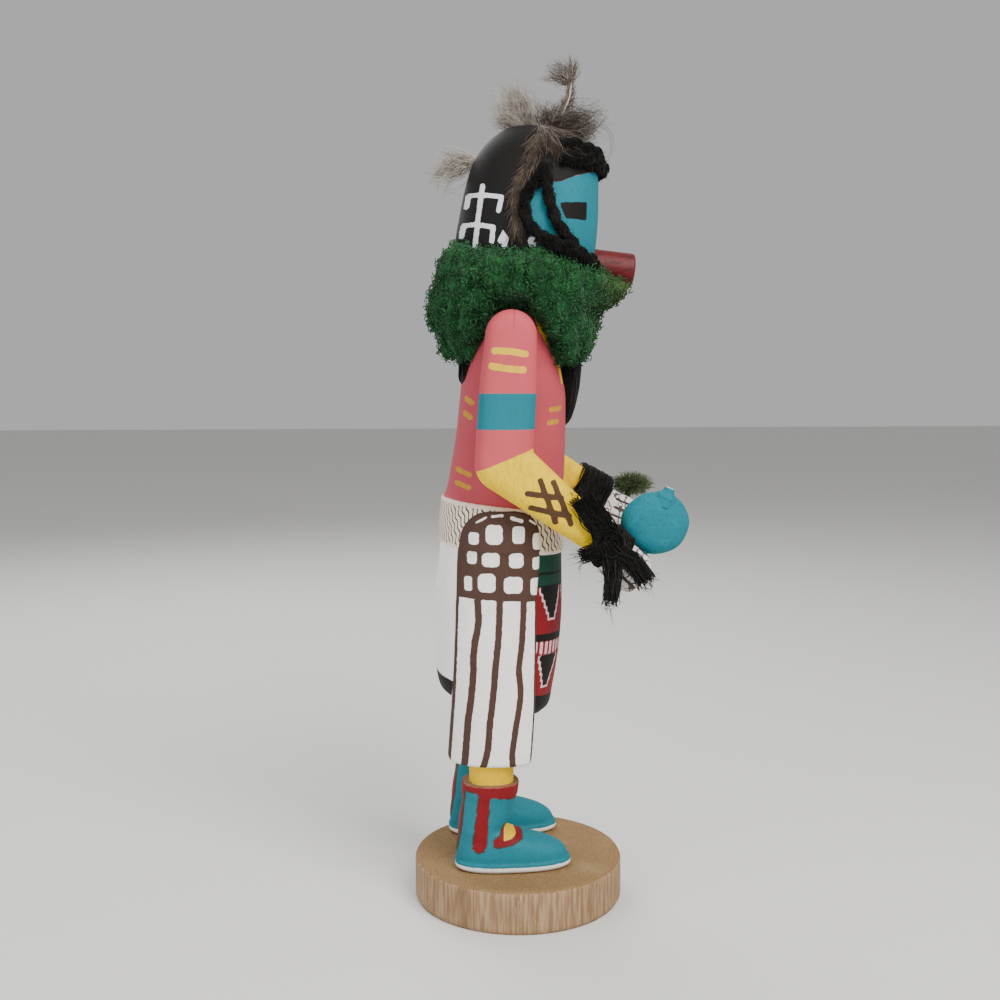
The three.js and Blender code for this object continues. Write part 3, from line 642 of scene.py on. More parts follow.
def paint_sash(y, z, front, back):
    """The sash: a brown lattice with white cells at the top, wavy brown stripes below."""
    lattice_low = 114.2 + (y + 4.2) * 0.052
    cells = either(
        *(rounded_cell(y, z, *cell) for cell in SASH_CELLS), *(stroke(y, z, *dash) for dash in SASH_DASHES))
    stripes = either(
        *(stroke(y, z, curve(path, 40).tolist(), width) for width, path in SASH_STRIPES),
        y - front - 0.85, back - y - 1.0)
    return {
        "white": z - 200 + 0 * y,
        "line": either(both(lattice_low - z, -cells), both(stripes, z - lattice_low)),
    }


SASH_PROUD, SASH_THICKNESS, FULL_HIP = 1.2, 5.5, 84.0  # FULL_HIP: the sash hangs straight down below it
SASH_CORNER, SASH_LOW_CORNER, SASH_EASE = 9.0, 2.4, 1.3
SASH_COLUMNS = 54


def make_sash():
    """A curved slab that follows the right hip, hangs past the hem and has rounded top corners."""
    z, front, back = along(SASH, 0.65, 1).T
    drop = np.clip(SASH[0][0] - z, 0, SASH_CORNER)
    low = np.clip(SASH_LOW_CORNER - (z - z.min()), 0, SASH_LOW_CORNER)
    inset = SASH_CORNER - np.sqrt(SASH_CORNER ** 2 - (SASH_CORNER - drop) ** 2) + 0.2 * low ** 2
    spread = (1 - np.cos(np.linspace(0, np.pi, SASH_COLUMNS))) / 2
    share = 0.55 * spread + 0.45 * np.linspace(0, 1, SASH_COLUMNS)
    left, right = (front + inset)[:, None], (back - inset)[:, None]
    y = left + (right - left) * share[None, :]
    z = z[:, None] + 0 * y
    hip = MIDDLE - half_width(TRUNK, y, np.maximum(z, FULL_HIP), TRUNK_POWER) - SASH_PROUD
    edge = np.minimum(np.minimum(y - left, right - y), z - z.min() + 0.01)
    softened = SASH_EASE - np.sqrt(np.maximum(0, SASH_EASE ** 2 - np.maximum(0, SASH_EASE - edge) ** 2))
    outer = np.stack([hip + softened, y, z], -1)
    inner = np.stack([hip + SASH_THICKNESS - softened, y, z], -1)[:, ::-1]
    rings = np.concatenate([outer, inner], 1)
    layers = paint_sash(rings[..., 1], rings[..., 2], front[:, None], back[:, None])
    layers["line"][:, SASH_COLUMNS:] = FAR
    return tube(rings, layers)


def make_figure():
    """The whole carving: trunk with belt and kilt, head, boots and hip sash."""
    rings, z, side = stack(TRUNK, MIDDLE, 200, TRUNK_POWER, 0.85)
    layers = paint_kilt(girth(rings), z, side)
    layers.update(paint_shoulders(*split(rings)))
    parts = [tube(rings, layers)]
    rings, _, _ = stack(HEAD, MIDDLE, 190, HEAD_POWER, 0.8)
    parts.append(tube(rings, paint_head(*split(rings))))
    for spread in (-FOOT_SPREAD, FOOT_SPREAD):
        rings, _, _ = stack(BOOT, MIDDLE + spread, 88, BOOT_POWER, 0.7)
        rings = rings + np.array([0, 0, SOLE])
        parts.append(tube(rings, paint_boot(*split(rings))))
    parts.append(make_sash())
    # The body's base pink is darker than the arms' pink: painted shade.
    body = painted("body paint", PINK_WITH_PAINTED_SHADE, {
        # black paint over the chest in front of the yoke
        "hair": (BLACK, BLACK),
        "white": (WHITE, dimmer(WHITE, 0.86)), "cream": (CREAM, dimmer(CREAM, 0.86)),
        "turquoise": (TURQUOISE, dimmer(TURQUOISE, 0.8)), "tan": (tint("#7D5B3E"), tint("#6A4630")),
        "yellow": (YELLOW, dimmer(YELLOW, 0.75)), "ochre": (tint("#B98A2C"), tint("#A87426")),
        "red": (RED, dimmer(RED, 0.75)), "rose": (ROSE, ROSE), "green": (GREEN, dimmer(GREEN, 0.7)),
        "black": (BLACK, tint("#14100E")), "line": (BROWN, dimmer(BROWN, 0.8)),
        "chalk": (tint("#DDDDE2"), tint("#C4C4CB"))}, extras=((belt_waves, tint("#2A211F")),))
    settle(piece("figure_painted", parts, body), "figure")


# ---------- arms ----------
ARM_OUT, ARM_HALF = 30.6, 6.5
SHOULDER_RADIUS, ELBOW_RADIUS, WRIST_RADIUS = 8.7, 9.9, 5.8
SHOULDER_SWELL = 3.0  # how fast the upper arm reaches its full width
# Middle plane, then (Y, Z) of shoulder, elbow, wrist and fist, and the fist's angle and size.
RIGHT = (MIDDLE - ARM_OUT, (5.7, 206.6), (8.2, 163.0), (-26.0, 136.0), (-34.0, 127.6), 0.72, 17.0, 15.5)
LEFT = (MIDDLE + ARM_OUT, (5.7, 206.6), (7.5, 170.6), (-33.0, 148.0), (-43.0, 141.0), 0.4, 16.0, 12.5)


def arm_rings(arm):
    """Sections across an arm from the shoulder's round end to the wrist's."""
    x, shoulder, elbow, wrist = arm[0], *(np.array(arm[i]) for i in (1, 2, 3))
    limbs = []
    for start, r0, end, r1 in (
            (shoulder, SHOULDER_RADIUS, elbow, ELBOW_RADIUS), (elbow, ELBOW_RADIUS, wrist, WRIST_RADIUS)):
        heading = unit(end - start)
        limbs.append((start, r0, end, r1, heading, np.array([-heading[1], heading[0]])))
    ahead0, normal0, ahead1, normal1 = limbs[0][4], limbs[0][5], limbs[1][4], limbs[1][5]

    def radius_at(r0, r1, share):
        return r0 + (r1 - r0) * (1 - (1 - share) ** SHOULDER_SWELL if r0 < r1 else share)

    if normal0 @ ahead1 > 0:
        normal0, normal1 = -normal0, -normal1
    bend = math.acos(np.clip(ahead0 @ ahead1, -1, 1))
    inner_reach = ELBOW_RADIUS / math.cos(bend / 2)
    corner = elbow - unit(normal0 + normal1) * inner_reach
    sections = []  # foot, outer and inner point of each
    for turn in np.linspace(np.pi / 2, 0, 14)[:-1]:
        out, back = SHOULDER_RADIUS * math.cos(turn) * normal0, SHOULDER_RADIUS * math.sin(turn) * ahead0
        sections.append((shoulder, shoulder + out - back, shoulder - out - back))
    for start, r0, end, r1, ahead, _ in limbs:
        upper = ahead is ahead0
        for share in np.linspace(0, 1, 64):
            middle = start + (end - start) * share
            reach = (normal0 if upper else normal1) * radius_at(r0, r1, share)
            beyond = (middle - reach - corner) @ ahead
            past = beyond > 0 if upper else beyond < 0
            sections.append((middle, middle + reach, corner if past else middle - reach))
        if upper:
            for share in np.linspace(0, 1, 18)[1:-1]:
                blend = unit(normal0 * math.sin((1 - share) * bend) + normal1 * math.sin(share * bend))
                sections.append((elbow, elbow + blend * ELBOW_RADIUS, corner))
    for turn in np.linspace(0, np.pi / 2, 14)[1:]:
        out, on = WRIST_RADIUS * math.cos(turn) * normal1, WRIST_RADIUS * math.sin(turn) * ahead1
        sections.append((wrist, wrist + out + on, wrist - out + on))
    foot, outer, inner = np.array(sections).transpose(1, 0, 2)
    rise = np.sin(np.linspace(0, np.pi / 2, 17))
    across = np.concatenate([
        inner[:, None] + (foot - inner)[:, None] * (1 - rise[::-1])[None, :, None],
        foot[:, None] + (outer - foot)[:, None] * rise[None, 1:, None]], 1)
    nearest = np.full(across.shape[:2], 1e3)
    for start, r0, end, r1, ahead, _ in limbs:
        reach = np.clip((across - start) @ ahead, 0, np.linalg.norm(end - start))
        away = np.linalg.norm(across - start - reach[..., None] * ahead, axis=2)
        nearest = np.minimum(nearest, away / radius_at(r0, r1, reach / np.linalg.norm(end - start)))
    rise_x = ARM_HALF * (1 - np.clip(nearest, 0, 1) ** 3.4) ** (1 / 2.6)
    over = np.concatenate([(x + rise_x)[..., None], across], -1)
    under = np.concatenate([(x - rise_x)[..., None], across], -1)[:, ::-1]
    return np.concatenate([over, under[:, 1:-1]], 1)


def fist_rings(arm):
    """A blocky fist with four fingers, from its heel to its knuckles."""
    x, (cy, cz), angle, length, height = arm[0], arm[4], arm[5], arm[6], arm[7]
    rows, columns = 50, 100
    lengthwise = np.linspace(-1, 1, rows)[:, None]
    turn = circle(columns)[None, :]
    swell = (1 - np.abs(lengthwise) ** 4.5) ** (1 / 3.2)
    b = rounded(np.sin(turn), 4.0) * swell * height / 2
    w = rounded(np.cos(turn), 3.2) * swell * (ARM_HALF + 0.5)
    finger = height / 4
    groove = np.abs(np.sin(np.pi * b / finger)) ** 0.6
    front = np.clip((0.55 - lengthwise) * 2, 0, 1)
    w = w * (1 - 0.10 * (1 - groove) * front)
    a = -lengthwise * length / 2 * (1 - 0.05 * (1 - groove) * (lengthwise < 0))
    a = a + 0 * b
    y = cy - a * math.cos(angle) + b * math.sin(angle)
    z = cz - a * math.sin(angle) - b * math.cos(angle)
    gaps = (1 - np.abs(np.sin(np.pi * b / finger))) * 1.0 - 0.62
    marks = np.maximum(-gaps * 2.2, -(0.35 - lengthwise) * 3)
    return np.stack([x + w, y, z], -1), {"ink": marks + 0 * b, "hand": -5 + 0 * b}


# Paint of the right arm in (Y, Z); the left arm's moves with its elbow.
HATCH = [
    [(-3.6, 157.6), (-8.9, 143.4)], [(-8.2, 156.9), (-14.1, 142.8)],
    [(0.8, 153.2), (-10.9, 151.6)], [(-0.5, 148.3), (-13.5, 145.4)]]
ARM_BARS = [[(11.9, 201.3), (7.0, 201.1), (1.5, 200.2)], [(12.8, 196.1), (7.0, 195.2), (2.2, 194.9)]]
FOREARM = [(18.5, 160.2), (-1.0, 168.2), (-60, 160), (-60, 90), (30, 90), (30, 158)]
ARMBAND_LOW, ARMBAND_HIGH = 174.8, 187.0


def paint_arm(points, arm, outer_sign):
    """Yellow forearm with a hatched mark, a turquoise armband and two bars on the outer face."""
    x, y, z = split(points)
    inside = -outer_sign * (x - arm[0]) + 1.5
    shift = np.array(arm[2]) - np.array(RIGHT[2])
    y, low = y - shift[0], z - shift[1]
    height = low + shift[1]
    return {
        "yellow": patch(y, low, FOREARM),
        "turquoise": block(y, height, -ENDLESS, ENDLESS, ARMBAND_LOW, ARMBAND_HIGH),
        "line": both(strokes(y, low, HATCH, 2.0), inside),
        "sun": both(strokes(y, height, ARM_BARS, 2.3), inside),
    }


def make_arm(name, arm, outer_sign, node):
    """An arm with its fist; outer_sign is the side of X that its outer face is on."""
    rings = arm_rings(arm)
    fist, marks = fist_rings(arm)
    made = piece(name, [tube(rings, paint_arm(rings, arm, outer_sign)), tube(fist, marks)], arm_paint)
    settle(made, node)


# ---------- base, snout and rattle ----------
def turned(profile, columns, spacing=0.5):
    """Rings of a turned shape from (height, radius) pairs, about the Z axis."""
    rows = along([(z, r, 0, 0) for z, r in profile], spacing)
    turn = circle(columns)
    radius = rows[:, 1:2]
    return np.stack([radius * np.cos(turn), radius * np.sin(turn), rows[:, :1] + 0 * turn], -1)


def make_base():
    """The slice of natural wood: sanded top, bark-free side with upright grain."""
    edge = 0.7
    rings = turned([
        (0, 1), (0.01, BASE_RADIUS - edge), (edge, BASE_RADIUS), (BASE_HEIGHT - edge, BASE_RADIUS),
        (BASE_HEIGHT, BASE_RADIUS - edge), (BASE_HEIGHT + 0.01, 1)], 128, 1.6)
    wood = Finish("bare wood")
    streak = wood.noise(1.1, 5.0, (1, 1, 0.09))
    broad = wood.noise(7.0, 3.0, (1, 1, 0.12))
    speck = wood.noise(0.55, 3.0)
    blotch = wood.noise(14.0, 3.0)
    top = wood.node("ShaderNodeSeparateXYZ", {}, wood.place(), output=2).ramp(
        (BASE_HEIGHT - 0.9) * MM, (BASE_HEIGHT - 0.35) * MM)
    side = wood.mix(tint("#83664A"), tint("#A98C6C"), streak.ramp(0.3, 0.7))
    side = wood.mix(side, tint("#63452C"), broad.ramp(0.56, 0.78) * 0.6)
    fleck = wood.noise(0.7, 3.0, (1, 1, 0.2)).ramp(0.6, 0.72)
    side = wood.mix(side, tint("#C2AA8C"), fleck * blotch.ramp(0.5, 0.7) * 0.7)
    sanded = wood.mix(tint("#705436"), tint("#8C704A"), speck.ramp(0.3, 0.62))
    sanded = wood.mix(sanded, tint("#A08A66"), blotch.ramp(0.5, 0.8) * 0.4)
    colour = wood.mix(side, sanded, top)
    relief = wood.bump(streak * (1 - top) + speck * top, 0.16, 0.7)
    settle(piece("base_slice", [tube(rings)], wood.done(colour, 0.82, relief)), "base_disc")


SNOUT_RADIUS, SNOUT_ROOT, SNOUT_LENGTH, SNOUT_DROOP = 6.3, (5.0, -25.0, 232.8), 17.5, 0.11


def make_snout():
    """The red tube on the face, which droops a little."""
    rings = turned([
        (0, 1), (0.01, SNOUT_RADIUS), (SNOUT_LENGTH - 0.8, SNOUT_RADIUS),
        (SNOUT_LENGTH - 0.15, SNOUT_RADIUS - 0.55), (SNOUT_LENGTH, 4.0), (SNOUT_LENGTH + 0.02, 0.3)], 72, 0.5)
    x, y, z = split(rings)
    ahead = np.array([0, -math.cos(SNOUT_DROOP), -math.sin(SNOUT_DROOP)])
    up = np.array([0, -math.sin(SNOUT_DROOP), math.cos(SNOUT_DROOP)])
    side = np.array([1.0, 0, 0])
    rings = np.array(SNOUT_ROOT) + x[..., None] * side + y[..., None] * up + z[..., None] * ahead
    paint = Finish("snout paint")
    brushed = paint.noise(1.2, 4.0, (1, 0.4, 1))
    colour = paint.mix(tint("#5E0F14"), tint("#430A10"), brushed.ramp(0.4, 0.7))
    relief = paint.bump(brushed, 0.12, 0.8)
    material = paint.done(colour, 0.4 + 0.3 * brushed, relief, 0.3)
    settle(piece("snout_turned", [tube(rings)], material), "snout")


RATTLE_CENTRE, RATTLE_AXIS = np.array((-44.9, 141.9)), np.array((-0.39, 0.92))
RATTLE_RADIUS, RATTLE_THICKNESS, RATTLE_FLATTENING = 12.1, 9.0, 0.9
HANDLE_RADIUS, HANDLE_END, NUB_END = 1.8, -22.0, 13.3


def make_rattle():
    """A flattened gourd on a stick, with a nub at the top and its stick through the fist."""
    axis = RATTLE_AXIS / np.linalg.norm(RATTLE_AXIS)
    across = np.array([-axis[1], axis[0]])
    turn = np.linspace(0, np.pi, 56)
    swell = rounded(np.sin(turn), 3.4) * RATTLE_RADIUS
    swell[0] = swell[-1] = 0.02
    deep = -RATTLE_THICKNESS / 2 * np.cos(turn)
    round_turn = circle(140)
    uneven = 1 + 0.012 * np.sin(3 * round_turn + 1) + 0.008 * np.sin(7 * round_turn)
    a = swell[:, None] * np.cos(round_turn) * uneven
    b = swell[:, None] * np.sin(round_turn) * uneven
    y = RATTLE_CENTRE[0] + a * axis[0] + b * across[0]
    z = RATTLE_CENTRE[1] + (a * axis[1] + b * across[1]) * RATTLE_FLATTENING
    disc = np.stack([RIGHT[0] + deep[:, None] + 0 * a, y, z], -1)

    def stick(profile, spacing=0.4):
        rings = turned(profile, 28, spacing)
        flat = RATTLE_CENTRE + rings[..., 2:3] * axis + rings[..., 1:2] * across
        return np.concatenate([(RIGHT[0] + rings[..., :1]), flat], -1)

    nub = stick([
        (6, 4.4), (9.6, 4.3), (10.6, 3.5), (11.4, 2.5), (12.2, 1.95), (NUB_END - 0.4, 1.8), (NUB_END, 1.3),
        (NUB_END + 0.05, 0.1)])
    handle = stick([
        (HANDLE_END, 0.1), (HANDLE_END + 0.05, 1.5), (HANDLE_END + 0.6, HANDLE_RADIUS), (0, HANDLE_RADIUS)])
    tip = NUB_END - 0.15 - (nub[..., 1:] - RATTLE_CENTRE) @ axis
    paint = Finish("gourd paint")
    sanded = paint.noise(0.7, 3.0)
    cloud = paint.noise(5.0, 3.0)
    colour = paint.mix(tint("#11707E"), tint("#0B5866"), sanded.ramp(0.5, 0.75))
    colour = paint.mix(colour, tint("#1F808A"), cloud.ramp(0.5, 0.8) * 0.5)
    colour = paint.mix(colour, tint("#DDE5E6"), paint.attribute("tip").ramp(0.2, -0.2))
    relief = paint.bump(sanded, 0.16, 0.7)
    parts = [tube(disc), tube(nub, {"tip": tip}), tube(handle)]
    made = piece("gourd_rattle", parts, paint.done(colour, 0.78, relief))
    settle(made, "rattle")


# ---------- fibres ----------
def strands(paths, radii, tone, sides=3):
    """Many thin tubes at once, as (points, faces, layers). Tone is the shade of each strand or point."""
    paths = np.asarray(paths, float)
    count, steps = paths.shape[:2]
    radii = np.broadcast_to(radii, (count, steps))
    tone = np.broadcast_to(np.asarray(tone, float).reshape(count, -1), (count, steps))
    ahead = unit(np.gradient(paths, axis=1))
    whole = unit(paths[:, -1] - paths[:, 0] + 1e-6)
    helper = np.where(np.abs(whole[:, 2:]) < 0.8, [[0.0, 0, 1]], [[1.0, 0, 0]])[:, None, :]
    normal = unit(np.cross(ahead, helper + 0 * ahead))
    other = np.cross(ahead, normal)
    rings = paths[:, :, None] + radii[..., None, None] * spoke(
        circle(sides), normal[:, :, None], other[:, :, None])
    quads = np.array(grid_faces(steps, sides))
    starts = (np.arange(count) * steps * sides)[:, None, None]
    faces = (starts + quads[None]).reshape(-1, 4).tolist()
    caps = np.array([list(range(sides))[::-1], [(steps - 1) * sides + k for k in range(sides)]])
    faces += (starts + caps[None]).reshape(-1, sides).tolist()
    shade = np.repeat(tone[..., None], sides, -1)
    return rings.reshape(-1, 3), faces, {"tone": shade.ravel()}


def frames(path, face):
    """Along, side and outward directions at each point of a path that lies on a face."""
    ahead = unit(np.gradient(path, axis=0))
    face = np.broadcast_to(face, path.shape)
    out = unit(face - (face * ahead).sum(-1, keepdims=True) * ahead)
    return ahead, np.cross(ahead, out), out


def shaded_tube(rings, tone):
    """A tube of one even tone."""
    return tube(rings, {"tone": np.full(rings.shape[:2], tone)})


def sleeve(path, side, out, wide, thick, columns, tone):
    """A closed oval skin round a path: the solid heart of a bundle of fibres."""
    rings = path[:, None] + spoke(circle(columns), wide * side[:, None], thick * out[:, None])
    return shaded_tube(rings, tone)


def taper(steps, tip=0.3):
    """Radius along a fibre: full for most of its length, thin at its tip."""
    return 1 + (tip - 1) * np.linspace(0, 1, steps) ** 2.2


def rng(seed):
    return np.random.RandomState(seed)


def bundle(points, face, width, thick, count, seed):
    """A flat hank of fibres along a path, with a solid heart and ragged ends."""
    steps, samples, ragged, wave = 14, 60, 0.2, 1.3
    random = rng(seed)
    path = curve(points, samples)
    ahead, side, out = frames(path, np.array(face, float))
    angle = random.uniform(0, 2 * np.pi, count)
    spread = np.sqrt(random.uniform(0.25, 1.0, count))
    share = np.linspace(0, 1, steps)[None, :] * (1 - ragged * random.uniform(-0.35, 1, (count, 1)))
    share = np.clip(share, 0, 1.0)
    phase = random.uniform(0, 6.28, (count, 1))
    sway = wave * np.sin(share * random.uniform(5, 11, (count, 1)) + phase)
    a = (spread * np.cos(angle))[:, None] * width / 2 + sway * 0.6
    b = (spread * np.sin(angle))[:, None] * thick / 2 + sway * 0.4
    swell = np.interp(share, [0, 0.15, 0.85, 1], [0.8, 1, 1, 1.12])

    def sample(field):
        return np.stack([np.interp(share, np.linspace(0, 1, samples), field[:, k]) for k in range(3)], -1)

    lines = sample(path) + sample(side) * (a * swell)[..., None] + sample(out) * (b * swell)[..., None]
    inner = slice(3, -5)
    return [
        strands(lines, 0.28 * taper(steps, 0.45), random.uniform(0, 1, count)),
        sleeve(path[inner], side[inner], out[inner], 0.46 * width, 0.46 * thick, 12, 0.1)]


def fuzz(path, width, count, random):
    """Short loose fibres that stand off a hank."""
    root = path[random.randint(0, len(path), count)] + unit(random.normal(0, 1, (count, 3))) * (width * 0.34)
    t = np.linspace(0, 1, 4)[None, :, None]
    heading = random.normal(0, 1.1, (count, 1, 3)) + unit(path[-1] - path[0])
    lines = root[:, None] + heading * t * 1.6 + random.normal(0, 0.6, (count, 1, 3)) * t ** 2
    return strands(lines, 0.1 * taper(4), random.uniform(0, 1, count))


def yarn(points, face, radius, seed, pitch):
    """Thick soft yarn: two plies wound round each other, each a close winding of fibres."""
    plies, fibres = 2, 15
    random = rng(seed)
    length = np.linalg.norm(np.diff(curve(points, 60), axis=0), axis=1).sum()
    steps = max(12, int(length / 1.05))
    path = curve(points, steps)
    ahead, side, out = frames(path, np.array(face, float))
    run = np.linspace(0, 1, steps) * length
    parts = []
    for ply in range(plies):
        heart = path + radius * 0.3 * spoke(2 * np.pi * (run / pitch + ply / plies), side, out)
        own = radius * 0.68
        parts.append(sleeve(heart, side, out, own * 0.86, own * 0.86, 9, 0.15))
        start = (circle(fibres) + random.uniform(-0.2, 0.2, fibres))[:, None]
        uneven = 1 + random.uniform(-0.15, 0.2, (fibres, 1)) + 0.12 * np.sin(run * 0.9 + start * 7)
        lines = heart + (own * uneven)[..., None] * spoke(start - 2 * np.pi * run / (pitch * 0.7), side, out)
        parts.append(strands(lines, 0.2, random.uniform(0, 1, fibres)))
    loose = int(length * 6)
    at = random.randint(0, steps, loose)
    root = path[at] + radius * 0.8 * spoke(random.uniform(0, 2 * np.pi, loose), side[at], out[at])
    heading = unit(unit(root - path[at]) + random.normal(0, 0.7, (loose, 3)))
    t = np.linspace(0, 1, 4)[None, :, None]
    reach = random.uniform(0.7, 1.9, (loose, 1, 1)) * t
    bend = random.normal(0, 0.5, (loose, 1, 3)) * t ** 2
    lines = root[:, None] + heading[:, None] * reach + bend
    parts.append(strands(lines, 0.07 * taper(4), random.uniform(0, 1, loose)))
    return parts


def fibre_finish(name, low, high, roughness, sheen):
    """Fibres whose shade goes from low to high with their tone."""
    wool = Finish(name)
    shade = wool.attribute("tone") * 0.7 + wool.noise(3.0, 2.0) * 0.6
    colour = wool.mix(tint(low), tint(high), shade.ramp(0.15, 1.15))
    return wool.done(colour, roughness, specular=0.1, sheen=sheen)


# ---------- wool ruff ----------
def scatter_tree():
    """A node tree that sets copies of a small shape over a surface, each turned at random."""
    tree = bpy.data.node_groups.new("scatter over a surface", "GeometryNodeTree")
    kinds = {
        "Geometry": "Geometry", "Shape": "Object", "Apart": "Float", "Crowd": "Float", "Size": "Float",
        "Uneven": "Float", "Tilt": "Float", "Seed": "Int", "Finish": "Material"}
    names = {
        label: tree.interface.new_socket(
            name=label, in_out="INPUT", socket_type="NodeSocket" + kind).identifier
        for label, kind in kinds.items()}
    tree.interface.new_socket(name="Geometry", in_out="OUTPUT", socket_type="NodeSocketGeometry")
    entry = tree.nodes.new("NodeGroupInput")
    surface, shape, apart, crowd, size, uneven, tilt, seed, material = (
        entry.outputs[label] for label in kinds)

    def out(node, label):
        return next(s for s in node.outputs if s.enabled and s.name == label)

    def made(kind, label, settings={}, **values):
        return out(add_node(tree, kind, settings, **values), label)

    def reckon(operation, first, second):
        return add_node(tree, "ShaderNodeMath", {"operation": operation}, first, second).outputs[0]

    def chance(kind, low, high, shift):
        """A random value between two others, from the seed moved on by a shift."""
        return made(
            "FunctionNodeRandomValue", "Value", {"data_type": kind}, Min=low, Max=high,
            Seed=reckon("ADD", seed, shift) if shift else seed)

    spread = add_node(
        tree, "GeometryNodeDistributePointsOnFaces", {"distribute_method": "POISSON"}, Mesh=surface,
        Distance_Min=apart, Density_Max=crowd, Seed=seed)
    back = reckon("MULTIPLY", tilt, -1.0)
    low = made("ShaderNodeCombineXYZ", "Vector", X=back, Y=back, Z=-math.pi)
    high = made("ShaderNodeCombineXYZ", "Vector", X=tilt, Y=tilt, Z=math.pi)
    turned_by = made("FunctionNodeEulerToRotation", "Rotation", Euler=chance("FLOAT_VECTOR", low, high, 0))
    facing = made(
        "FunctionNodeRotateRotation", "Rotation", {"rotation_space": "LOCAL"},
        Rotation=out(spread, "Rotation"), Rotate_By=turned_by)
    smallest, largest = (
        reckon("MULTIPLY", size, reckon(operation, 1.0, uneven)) for operation in ("SUBTRACT", "ADD"))
    copies = made(
        "GeometryNodeInstanceOnPoints", "Instances", Points=out(spread, "Points"),
        Instance=made("GeometryNodeObjectInfo", "Geometry", {"transform_space": "ORIGINAL"}, Object=shape),
        Rotation=facing, Scale=chance("FLOAT", smallest, largest, 1.0))
    stored = made(
        "GeometryNodeStoreNamedAttribute", "Geometry", {"data_type": "FLOAT", "domain": "INSTANCE"},
        Geometry=copies, Name="tone", Value=chance("FLOAT", 0.0, 1.0, 2.0))
    joined = tree.nodes.new("GeometryNodeJoinGeometry")
    for geometry in (surface, stored):
        tree.links.new(geometry, joined.inputs[0])
    real = made("GeometryNodeRealizeInstances", "Geometry", Geometry=joined.outputs[0])
    coated = made("GeometryNodeSetMaterial", "Geometry", Geometry=real, Material=material)
    tree.links.new(coated, tree.nodes.new("NodeGroupOutput").inputs[0])
    return tree, names


def scattered(made, values):
    """Covers a piece with copies of a shape, as the tree's inputs say, and makes it one plain mesh."""
    modifier = made.modifiers.new("scatter", "NODES")
    modifier.node_group = SCATTER[0]
    for label, value in values.items():
        modifier[SCATTER[1][label]] = value
    made.update_tag()
    graph = bpy.context.evaluated_depsgraph_get()
    mesh = bpy.data.meshes.new_from_object(made.evaluated_get(graph), depsgraph=graph)
    made.modifiers.clear()
    made.data = mesh
    mesh.name = made.name


def rumple(points, size, seed, waves=10):
    """Smooth unevenness from -1 to 1 with lumps of about the given size."""
    random = rng(seed)
    heading = unit(random.normal(0, 1, (waves, 3)))
    heading = heading * (2 * np.pi / (size * random.uniform(0.8, 1.6, (waves, 1))))
    phase = random.uniform(0, 6.28, waves)
    return np.sin(points @ heading.T + phase).sum(-1) / math.sqrt(waves)


RUFF_Y, RUFF_HOLE, RUFF_REACH = -3.0, 9.0, 33.2      # its centre, and its radii at the back
RUFF_TOP, RUFF_BOTTOM, RUFF_DROP = 239.9, 217.2, 19.2  # highest at the back, lowest over a shoulder
CURL_RADIUS, CURL_RISE, CURL_THICKNESS = 0.95, 1.3, 0.16


def make_ruff():
    """A thick ring of curly wool round the neck, raised over each shoulder."""
    columns, rows = 180, 48
    turn = circle(columns)[:, None]
    around = circle(rows)[None, :]
    ahead = np.maximum(0, -np.sin(turn))
    beside = np.cos(turn) ** 2
    off_shoulder = smooth((np.abs(np.sin(turn) - 0.25) - 0.12) / 0.68)
    top = RUFF_TOP - 11 * ahead ** 2 - 3 * beside
    bottom = RUFF_BOTTOM - RUFF_DROP * off_shoulder
    reach = RUFF_REACH + 5.5 * ahead ** 4 - 0.6 * beside
    tuck = 13.5 * ahead ** 2 * smooth((-np.sin(around) + 0.62) / 0.62)
    radial = RUFF_HOLE + (reach - RUFF_HOLE - tuck) * (0.5 + 0.5 * rounded(np.cos(around), 2.3))
    height = (top + bottom) / 2 + (top - bottom) / 2 * rounded(np.sin(around), 2.3)
    rings = np.stack([MIDDLE + np.cos(turn) * radial, RUFF_Y + np.sin(turn) * radial, height], -1)
    lump = 2.0 * np.abs(rumple(rings, 9, 3)) + 1.2 * np.abs(rumple(rings, 5, 4)) - 2.0
    middle = np.stack([MIDDLE + np.cos(turn) * 21, RUFF_Y + np.sin(turn) * 21, (top + bottom) / 2], -1)
    rings = rings + unit(rings - middle) * lump[..., None]
    points = rings.reshape(-1, 3)
    faces = [[i % len(points) for i in face] for face in grid_faces(columns + 1, rows)]
    wool = Finish("green wool")
    shade = wool.attribute("tone") * 0.45 + wool.noise(4.5, 3.0) * 0.95 + wool.noise(0.8, 2.0) * 0.3
    colour = wool.mix(tint("#0D3319"), tint("#2F6A3B"), shade.ramp(0.4, 1.2))
    olive = wool.node("ShaderNodeSeparateXYZ", {}, wool.place(), output=1).ramp(-0.022, -0.040) * 0.5
    colour = wool.mix(colour, tint("#4C5A22"), olive)
    nap = wool.bump(wool.noise(0.55, 3.0), 0.5, 0.8)
    material = wool.done(colour, 1.0, nap, specular=0.04, sheen=0.12)
    base = piece("ruff_wool", [(points, faces, {"tone": np.zeros(len(points))})], material)
    t = np.linspace(0, 1, 7)
    swing = 2 * np.pi * t
    loop = np.stack([
        CURL_RADIUS * np.cos(swing) * (1 - 0.25 * t), CURL_RADIUS * np.sin(swing) * (1 - 0.2 * t),
        0.2 + CURL_RISE * t], -1)
    shape = piece("curl", [strands(loop[None], CURL_THICKNESS, [0.5])], material)
    scattered(base, {
        "Shape": shape, "Apart": 1.34 * MM, "Crowd": 2.2 / MM ** 2, "Size": 1.05, "Uneven": 0.35,
        "Tilt": 1.3, "Seed": 5, "Finish": material})
    bpy.data.objects.remove(shape)
    settle(base, "ruff")


